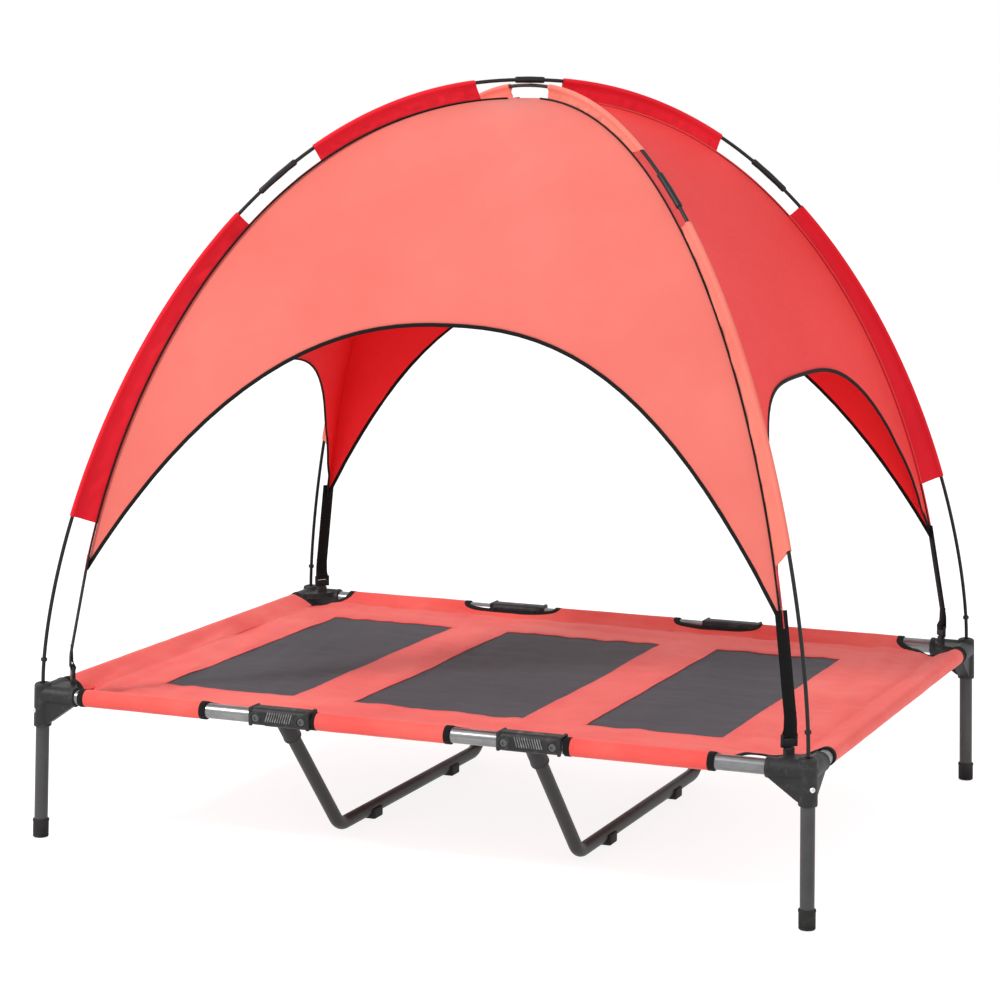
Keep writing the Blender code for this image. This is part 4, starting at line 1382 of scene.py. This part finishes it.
def creased(u, v):
    """Height of the creases that tension leaves: fine ones all over, long folds beside the ends
    and the rails, and ones that fan out of the corners."""
    fine = (noise.noise(Vector((u * 16, v * 34, 1.7)))
            + 0.5 * noise.noise(Vector((u * 41, v * 70, 5))))
    at_end = smoothstep(0.40, 0.55, abs(u))
    at_rail = smoothstep(0.29, 0.41, abs(v))
    end_folds = noise.noise(Vector((u * 36 + v * 7, v * 5, 9.2))) * (0.35 + 0.65 * at_end)
    rail_folds = noise.noise(Vector((u * 7, v * 46 + u * 6, 4.4))) * at_rail
    lean = math.copysign(1, u * v)
    fan = noise.noise(Vector(((u - lean * v) * 34, (u + lean * v) * 5, 6.1))) * at_end * at_rail
    return (fine_crease * fine + end_fold * end_folds + rail_fold * rail_folds
            + corner_fan * fan)


def bed_place(u, v):
    """From the flat cut to the cloth as it is stretched on the rails."""
    crease = creased(u, v)
    for along, beyond, limit in ((0, abs(v) - bed_deep, 1), (1, abs(u) - bed_long, 0)):
        if beyond > 0:
            outward, rise = wrap(beyond)
            fade = 1 - smoothstep(0.0, tangent, beyond)
            puff = noise.noise(Vector((u * 22, v * 22, 2.2))) * 0.0005
            if beyond > tangent:
                swell = Vector((outward, rise)) - to_axis
                if swell.length:
                    swell = swell.normalized() * puff * smoothstep(tangent, tangent + 0.01, beyond)
                outward, rise = outward + swell.x, rise + swell.y
            rise += crease * fade
            if along == 0:
                return Vector((u, math.copysign(bed_deep + outward, v), bed_level + rise))
            return Vector((math.copysign(bed_long + outward, u), v, bed_level + rise))
    sag = 0.0020 * (1 - (u / bed_long) ** 2) * (1 - (v / bed_deep) ** 2)
    return Vector((u, v, bed_level - sag + crease))


def curved(points, count=14):
    """Points on the Bezier curve that four control points give."""
    a, b, c, d = (Vector(p) for p in points)
    made = []
    for i in range(count + 1):
        t = i / count
        made.append(a * (1 - t) ** 3 + b * 3 * t * (1 - t) ** 2 + c * 3 * t * t * (1 - t)
                    + d * t ** 3)
    return made


def gap_edge(front, start, end):
    """The cut-out between two sleeves, in the flat cut, from one sleeve's hem to the next."""
    level = bed_deep + cut_line
    far = bed_deep + wrap_length
    turn = 0.016
    line = [Vector((start, far)), Vector((start, level + turn))]
    line += curved([(start, level + turn), (start, level + 0.005), (start + 0.010, level + 0.002),
                    (start + 0.042, level)])[1:]
    line += curved([(end - 0.042, level), (end - 0.010, level + 0.002), (end, level + 0.005),
                    (end, level + turn)])
    line.append(Vector((end, far)))
    return [Vector((p.x, front * p.y)) for p in line]


def corner_edge(side, front):
    """The cut-out at a corner, from the side rail's sleeve to the end rail's sleeve."""
    tabs = front_tabs if front < 0 else back_tabs
    start = abs(tabs[0][0] if side < 0 else tabs[-1][1])
    end = abs(end_tabs["left" if side < 0 else "right"][0 if front < 0 else 1])
    line = [Vector((start, bed_deep + wrap_length)), Vector((start, bed_deep + 0.026))]
    dip = slack_dip if (side, front) == slack_corner else 0.0
    line += curved([(start, bed_deep + 0.026), (start + 0.003, bed_deep + 0.004 - dip),
                    (bed_long - dip, end + 0.002 - dip), (bed_long + 0.026, end)], 24)
    line.append(Vector((bed_long + wrap_length, end)))
    return [Vector((side * p.x, front * p.y)) for p in line]


def section_outline(section):
    """The flat cut of one section, anticlockwise."""
    def edge(front, low, high):
        tabs = front_tabs if front < 0 else back_tabs
        line = []
        for before, after in zip(tabs, tabs[1:]):
            line += gap_edge(front, before[1], after[0])
        return [p for p in line if low <= p.x <= high]

    level = bed_deep + cut_line
    if section == "middle":
        front = [Vector((left_cut, -level))] + edge(-1, left_cut, right_cut)
        front.append(Vector((right_cut, -level)))
        back = [Vector((left_cut, level))] + edge(1, left_cut, right_cut)
        back.append(Vector((right_cut, level)))
        return front + back[::-1]
    side = -1 if section == "left" else 1
    divide = left_cut if side < 0 else right_cut
    low, high = (-9, divide) if side < 0 else (divide, 9)
    ends = {front: edge(front, low, high) for front in (-1, 1)}
    if side < 0:
        loop = ends[-1] + [Vector((divide, -level)), Vector((divide, level))] + ends[1][::-1]
        loop += corner_edge(side, 1) + corner_edge(side, -1)[::-1]
    else:
        loop = [Vector((divide, -level))] + ends[-1] + corner_edge(side, -1)
        loop += corner_edge(side, 1)[::-1] + ends[1][::-1] + [Vector((divide, level))]
    return loop


def window_loop(section, grow=0.0):
    low, high = windows[section]
    low, high, deep = low - grow, high + grow, window_deep + grow
    return [Vector(p) for p in ((low, -deep), (high, -deep), (high, deep), (low, deep))]


def stepped(loop, spacing):
    """The closed loop with points at least every spacing along it."""
    made = []
    for a, b in zip(loop, loop[1:] + loop[:1]):
        count = max(1, math.ceil((b - a).length / spacing))
        made += [a.lerp(b, i / count) for i in range(count)]
    return made


def grid_lines(limit, spacing):
    """Even lines over the flat part, and closer ones where the cloth goes round a rail."""
    count = round(2 * limit / spacing)
    lines = [mixed(-limit, limit, i / count) for i in range(count + 1)]
    wraps = [limit + wrap_length * i / 44 for i in range(1, 44)]
    return [-w for w in wraps[::-1]] + lines + wraps


def build_sheet(name, outline, holes, lift=0.0, spacing=0.009):
    """Fills a flat outline with small triangles and carries them to the rails."""
    loops = [stepped(outline, 0.0035)] + [stepped(hole, 0.006) for hole in holes]
    points, links = [], []
    for loop in loops:
        first = len(points)
        points += loop
        links += [(first + i, first + (i + 1) % len(loop)) for i in range(len(loop))]
    tree = KDTree(len(points))
    for i, point in enumerate(points):
        tree.insert((point.x, point.y, 0), i)
    tree.balance()
    for u in grid_lines(bed_long, spacing):
        for v in grid_lines(bed_deep, spacing):
            if abs(u) > bed_long and abs(v) > bed_deep:
                continue
            if tree.find((u, v, 0))[2] > 0.0028:
                points.append(Vector((u, v)))
    verts, _, faces, *_ = delaunay_2d_cdt(points, links, [], 1, 1e-6)
    boxes = [(min(p.x for p in hole), max(p.x for p in hole), min(p.y for p in hole),
              max(p.y for p in hole)) for hole in holes]
    kept = []
    for face in faces:
        centre = sum((verts[k] for k in face), Vector((0, 0))) / len(face)
        if not any(a < centre.x < b and c < centre.y < d for a, b, c, d in boxes):
            kept.append(face if signed_area([verts[k] for k in face]) > 0 else face[::-1])
    used = sorted({k for face in kept for k in face})
    number = {k: i for i, k in enumerate(used)}
    flat = [verts[k] for k in used]
    faces = [[number[k] for k in face] for face in kept]
    places = [bed_place(p.x, p.y) + up * lift for p in flat]
    area = sum(abs(signed_area([flat[k] for k in face])) for face in faces)
    piece = from_faces(name, places, faces, [[tuple(flat[k]) for k in face] for face in faces])
    return piece, area


def signed_area(corners):
    return sum(a.x * b.y - a.y * b.x for a, b in zip(corners, corners[1:] + corners[:1])) / 2


def carried(line, inward_sign):
    """A flat line carried to the cloth: places, and the way into the cloth at each."""
    places, inwards = [], []
    for i, point in enumerate(line):
        way = line[min(i + 1, len(line) - 1)] - line[max(i - 1, 0)]
        way.normalize()
        inward = Vector((-way.y, way.x)) * inward_sign
        here = bed_place(point.x, point.y)
        there = point + inward * 0.003
        places.append(here)
        inwards.append((bed_place(there.x, there.y) - here).normalized())
    return places, inwards


def tape_along(name, line, inward_sign):
    flat = resampled([Vector((p.x, p.y, 0)) for p in line], 0.003)
    places, inwards = carried([Vector((p.x, p.y)) for p in flat], inward_sign)
    return bind_edge(name, places, inwards, 1.7)


def stitch_row(verts, faces, start, end, length=0.0030, pitch=0.0042, width=0.00045):
    """Adds a row of lockstitches between two points of the flat cut."""
    span = end - start
    way = span.normalized()
    side = Vector((-way.y, way.x))
    for k in range(int(span.length / pitch)):
        a = start + way * (k * pitch + 0.0006)
        b = a + way * length
        ends = [bed_place(p.x, p.y) for p in (a, b)]
        left, right = (bed_place(*((a + b) / 2 + side * s)) for s in (width, -width))
        out = (ends[1] - ends[0]).cross(left - right).normalized()
        if out.z < 0 and abs(start.y) < bed_deep:
            out = -out
        base = len(verts)
        middle = (ends[0] + ends[1]) / 2
        verts += [ends[0] + out * 0.0003, ends[1] + out * 0.0003, left + out * 0.0006,
                  right + out * 0.0006, middle + out * 0.0011]
        faces += [(base, base + 3, base + 4), (base + 3, base + 1, base + 4),
                  (base + 1, base + 2, base + 4), (base + 2, base, base + 4)]


def build_stitching(section):
    """Twin rows round the mesh window and along the hems."""
    verts, faces = [], []
    for off in (0.0035, 0.0085):
        loop = window_loop(section, off)
        for a, b in zip(loop, loop[1:] + loop[:1]):
            stitch_row(verts, faces, a, b)
    k = list(windows).index(section)
    for front, tabs in ((-1, front_tabs), (1, back_tabs)):
        start, end = tabs[k]
        for row in hem_rows:
            v = front * (bed_deep - row)
            stitch_row(verts, faces, Vector((start + row_end, v)), Vector((end - row_end, v)))
    if section != "middle":
        side = -1 if section == "left" else 1
        start, end = end_tabs[section]
        for row in hem_rows:
            u = side * (bed_long - row)
            stitch_row(verts, faces, Vector((u, start + row_end)), Vector((u, end - row_end)))
    piece = from_faces(f"bed_stitching_{section}", verts, faces)
    return dressed(piece, finishes["red_thread"], 40)


def joined_to_bed(piece, section):
    """Rides on the middle frame, or, on an end section, has its place moved into its mesh."""
    if section == "middle":
        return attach(piece, "middle_frame")
    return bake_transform(piece)


def build_section(section):
    """One section of the bed: its cloth, its mesh window and their stitching."""
    outline = section_outline(section)
    cloth, area = build_sheet(f"bed_cover_{section}", outline, [window_loop(section)])
    modified(cloth, "SOLIDIFY", thickness=0.0011, offset=0)
    dressed(cloth, finishes["bed"], 60)
    mesh, _ = build_sheet(f"bed_mesh_{section}", window_loop(section, mesh_lap), [], -0.0013)
    modified(mesh, "SOLIDIFY", thickness=0.0009, offset=0)
    dressed(mesh, finishes["mesh"], 60)
    joined_to_bed(mesh, section)
    stitching = joined_to_bed(build_stitching(section), section)
    joined_to_bed(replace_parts(cloth, f"bed_cloth_{section}"), section)


def build_bed():
    for section in windows:
        build_section(section)
    for front_name, front in fronts:
        tabs = front_tabs if front < 0 else back_tabs
        for k, section in ((0, "left"), (1, "right")):
            line = gap_edge(front, tabs[k][1], tabs[k + 1][0])
            tape = tape_along(f"gap_tape_{front_name}_{section}", line, -front)
            joined_to_bed(tape, section)
        for side_name, side in sides:
            line = corner_edge(side, front)
            tape = tape_along(f"corner_tape_{front_name}_{side_name}", line,
                              -1 if side * front > 0 else 1)
            joined_to_bed(tape, side_name)


# ---- stage, lights and camera ----

lamps = (("key", (-2.6, -3.2, 3.8), 0.9, 190), ("fill", (3.2, -2.6, 1.6), 2.4, 25))
lamp_aim = Vector((0, 0, 0.45))
view_turn, view_tilt, view_roll = (math.radians(angle) for angle in (22.186, 8.310, 0.441))
camera_place = (1.62925, -4.10103, 1.13155)
camera_lens, camera_shift = 104.96, -0.0038


def build_stage():
    deselect()
    bpy.ops.mesh.primitive_circle_add(vertices=96, radius=26, fill_type="NGON",
                                      location=(0, 0, -0.0006))
    floor = added("floor")
    look = Finish("pale_floor", Roughness=0.8, Specular_IOR_Level=0.05, Emission_Strength=0.85,
                  Emission_Color=grey(1.0))
    look.colour(look.ramp(look.noise(3, 3), ((0.3, grey(0.28)), (0.8, grey(0.30)))))
    floor.data.materials.append(look.material)
    world = bpy.data.worlds.new("soft_white")
    world.use_nodes = True
    world.node_tree.nodes["Background"].inputs[0].default_value = (1.0, 1.0, 1.0, 1)
    world.node_tree.nodes["Background"].inputs[1].default_value = 1.0
    bpy.context.scene.world = world
    for name, spot, size, power in lamps:
        light = bpy.data.lights.new(name, "AREA")
        light.shape, light.size, light.energy = "DISK", size, power
        lamp = bpy.data.objects.new(name, light)
        lamp.location = spot
        aim = lamp_aim - Vector(spot)
        lamp.rotation_euler = aim.to_track_quat("-Z", "Y").to_euler()
        bpy.context.scene.collection.objects.link(lamp)
    bpy.context.scene.view_settings.view_transform = "Standard"


def build_camera():
    back = Vector((math.sin(view_turn) * math.cos(view_tilt),
                   -math.cos(view_turn) * math.cos(view_tilt), math.sin(view_tilt)))
    right = (-back).cross(up).normalized()
    top = right.cross(-back)
    right, top = (right * math.cos(view_roll) + top * math.sin(view_roll),
                  top * math.cos(view_roll) - right * math.sin(view_roll))
    camera = bpy.data.objects.new("camera", bpy.data.cameras.new("camera"))
    camera.data.sensor_width = 36
    camera.data.lens = camera_lens
    camera.data.shift_y = camera_shift
    camera.data.clip_end = 200
    axes = Matrix((right, top, back)).transposed().to_4x4()
    camera.matrix_world = Matrix.Translation(camera_place) @ axes
    bpy.context.scene.collection.objects.link(camera)
    bpy.context.scene.camera = camera


build_camera()
build_stage()
build_corners()
build_rails()
build_connectors()
build_middle_legs()
build_poles()
cover, cover_edges, cover_area = build_cover()
cover_parts = build_arch_bindings(cover_edges) + build_sleeves() + build_seams()
build_straps()
build_bed()
cover_spans()
